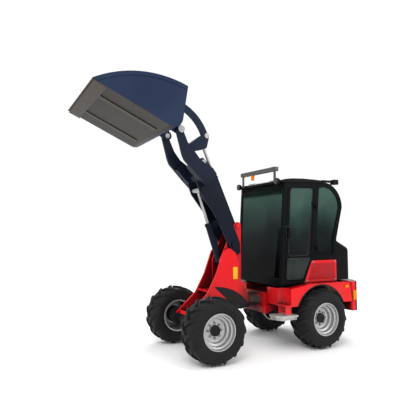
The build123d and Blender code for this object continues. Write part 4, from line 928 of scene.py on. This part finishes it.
# Light bar, work lamps and markers: drawn aluminium and moulded housings, screwed to the roof's edges and
# the fenders, with amber and clear lenses pressed into them.
bar_grey = Finish("light_bar_grey", Metallic=0.3)
bar_grey.feed(
    Base_Color=bar_grey.mix(bar_grey.noise(8.0), (0.045, 0.045, 0.044, 1), (0.085, 0.083, 0.08, 1)),
    Roughness=bar_grey.part_of(bar_grey.noise(50.0), 0.3, 0.7, 0.35, 0.5),
)
dress(bar_grey.material, "light_bar")
dressed_edges(0.003, "light_bar")
dress(moulded("lamp_housing", (0.005, 0.005, 0.006, 1), 0.3, 500.0, 0.0003), "work_lamps")
amber_lenses = ("beacon", "tail_lamps", "side_markers")
dress(moulded("amber_lens", (0.6, 0.16, 0.006, 1), 0.16, 180.0, 0.0008), *amber_lenses)
dressed_edges(0.002, "work_lamps", *amber_lenses)
clear_lens = Finish("clear_lens", Specular_IOR_Level=0.3)
flutes = clear_lens.waves("Y", 40.0)
clear_lens.feed(
    Base_Color=clear_lens.mix(flutes, (0.012, 0.0125, 0.013, 1), (0.04, 0.042, 0.043, 1)),
    Roughness=clear_lens.part_of(flutes, 0.0, 1.0, 0.08, 0.16),
    Normal=clear_lens.bump(flutes, 0.0015, 0.6),
)
ALONG = (0, math.pi / 2, 0)
LENS_DEPTH = 0.006
# columns: radius, depth, sides
ROUND_LENS = (0.039, LENS_DEPTH, 32)
SQUARE_LENS = (LENS_DEPTH, 0.054, 0.052)
LENS_EDGE = 0.0022
LAMP_SIDE = 440
for hand, name in SIDES:
    round_lens = disc(spot(-207, hand * LAMP_SIDE, 2148), *ROUND_LENS, ALONG)
    settle(eased(round_lens, LENS_EDGE), "front_lamp_lens_" + name, clear_lens.material, "rear_body")
    square_lens = block(spot(-1277, hand * LAMP_SIDE, 2185), SQUARE_LENS)
    settle(eased(square_lens, LENS_EDGE), "rear_lamp_lens_" + name, clear_lens.material, "rear_body")

# Boom, lever, link, hitch and cylinder barrels: thick plate and tube in a navy black satin paint, welded
# and bored, with pins through their bosses.
NAVY = (0.0032, 0.0052, 0.0115, 1)
FADED_NAVY = (0.0045, 0.007, 0.015, 1)
PALER_NAVY = (0.0095, 0.0155, 0.032, 1)


# A paler navy painted by height towards the upper end of the boom.
def paler_up_high(paint):
    """The upper end of the boom, in patches."""
    return paint.part_of(paint.axis(2) + paint.noise(4.0, 4.0) * 0.2, 2.0, 2.7)


navy_paint = sprayed("boom_navy", NAVY, FADED_NAVY, (0.02, 0.019, 0.018, 1), 0.34, 0.0, 0.08,
                     (PALER_NAVY, paler_up_high))
loader_plate = ("boom", "tilt_lever", "tilt_link", "hitch", "lift_barrel", "tilt_barrel", "tilt_sleeve")
dress(navy_paint, *loader_plate)
dressed_edges(0.003, *loader_plate)

# Pins and rods: turned steel bar, the rods hard chromed, the pins left bright at the ends. The tower's
# pins are painted with what they hold.


def turned(name, colour, rough):
    """Bright bar with fine turning lines and a little oil."""
    steel = Finish(name, Metallic=1.0)
    lines = steel.noise(900.0, 1.0)
    oil = steel.part_of(steel.noise(9.0, 3.0), 0.45, 0.75)
    steel.feed(
        Base_Color=steel.mix(oil * 0.4, colour, (0.12, 0.1, 0.08, 1)),
        Roughness=steel.part_of(lines, 0.3, 0.7, rough, rough + 0.12) + oil * 0.1,
    )
    return steel.material


bright_pins = ("articulation_pin", "lever_pins", "link_pin", "hitch_pins", "hitch_link_pin")
dress(turned("pin_steel", (0.3, 0.3, 0.305, 1), 0.34), *bright_pins)
dress(navy_paint, "boom_pin")
dress(red_paint, "tilt_base_pin")
dress(turned("rod_chrome", (0.34, 0.345, 0.35, 1), 0.12), "lift_rod", "tilt_rod")
dressed_edges(0.003, "boom_pin", "tilt_base_pin", *bright_pins)

# Bucket: plate bent round the heel with welded sides, painted as the boom is, its floor brown grey
# underneath: scoured by earth, and painted light that the brown ground bounces up onto it. The cutting edge
# and wear strips are hard steel, welded on below.
BUCKET_HEEL = spot(1252, 0, 2604)
BUCKET_LIP = spot(2240, 0, 3050)
floor_run = (BUCKET_LIP - BUCKET_HEEL).normalized()
BUCKET_BLUE = (0.012, 0.021, 0.048, 1)
FADED_BLUE = (0.016, 0.026, 0.056, 1)
SCOURED_AND_GROUND_LIT = (0.036, 0.031, 0.026, 1)


def scoured_and_ground_lit(paint):
    """What lies under the plane of the bucket's floor, in patches: scoured steel and painted ground light.
    """
    along = paint.axis(0) - BUCKET_HEEL.x
    up = paint.axis(2) - BUCKET_HEEL.z
    below = paint.part_of(along * floor_run.z - up * floor_run.x, 0.002, 0.005)
    return below * paint.part_of(paint.noise(9.0, 5.0), 0.25, 0.5, 0.55, 1.0)


bucket_paint = sprayed("bucket_paint", BUCKET_BLUE, FADED_BLUE, (0.03, 0.03, 0.03, 1), 0.4, 0.0, 0.08,
                       (SCOURED_AND_GROUND_LIT, scoured_and_ground_lit))
dress(bucket_paint, "bucket")
dress(turned("worn_edge", (0.07, 0.06, 0.053, 1), 0.45), "cutting_edge")
dressed_edges(0.004, "bucket", "cutting_edge")

# Studio: a pale chalky floor that fades into an even white sky, lit by three large soft lamps. The camera
# stands off the machine's left front corner and looks back and slightly up.
bpy.ops.object.select_all(action="DESELECT")
bpy.ops.mesh.primitive_plane_add(size=120, location=(0, 0, 0))
floor = bpy.context.object
floor.name = "studio_floor"
chalk = Finish("studio_chalk", Roughness=0.9, Specular_IOR_Level=0.0)
chalk.feed(Base_Color=chalk.mix(chalk.noise(0.4, 2.0), (0.985, 0.985, 0.985, 1), (0.99, 0.99, 0.99, 1)))
floor.data.materials.append(chalk.material)


def stood_up(name, data):
    """A lamp or a camera put into the scene."""
    stand = bpy.data.objects.new(name, data)
    bpy.context.scene.collection.objects.link(stand)
    return stand


# columns: name, place, aim, size, power
LAMPS = [
    ("key", (4.5, 5.5, 6.5), (0, 0, 1.3), 4.0, 320),
    ("fill", (-5.0, 6.5, 4.0), (-0.5, 0, 1.0), 5.0, 140),
    ("back", (-3.0, -6.0, 6.0), (0, 0, 1.5), 5.0, 220),
]
for name, place, aim, size, power in LAMPS:
    lamp = bpy.data.lights.new(name, "AREA")
    lamp.shape = "DISK"
    lamp.size = size
    lamp.energy = power
    holder = stood_up(name, lamp)
    holder.location = place
    holder.rotation_euler = (Vector(aim) - Vector(place)).to_track_quat("-Z", "Y").to_euler()

sky = bpy.data.worlds.new("studio_sky")
sky.use_nodes = True
sky.node_tree.nodes["Background"].inputs["Color"].default_value = (1.0, 1.0, 1.0, 1)
sky.node_tree.nodes["Background"].inputs["Strength"].default_value = 1.03
bpy.context.scene.world = sky
bpy.context.scene.view_settings.view_transform = "Standard"

CAMERA_PLACE = (2.87956, 4.770, 1.504)
CAMERA_RISE = 4.011
CAMERA_TURN = 153.569
lens = bpy.data.cameras.new("studio_camera")
lens.lens = 37.8
lens.shift_x = 0.032
lens.shift_y = 0.004
camera = stood_up("studio_camera", lens)
camera.location = CAMERA_PLACE
camera.rotation_euler = (math.radians(90 + CAMERA_RISE), 0, math.radians(CAMERA_TURN))
bpy.context.scene.camera = camera
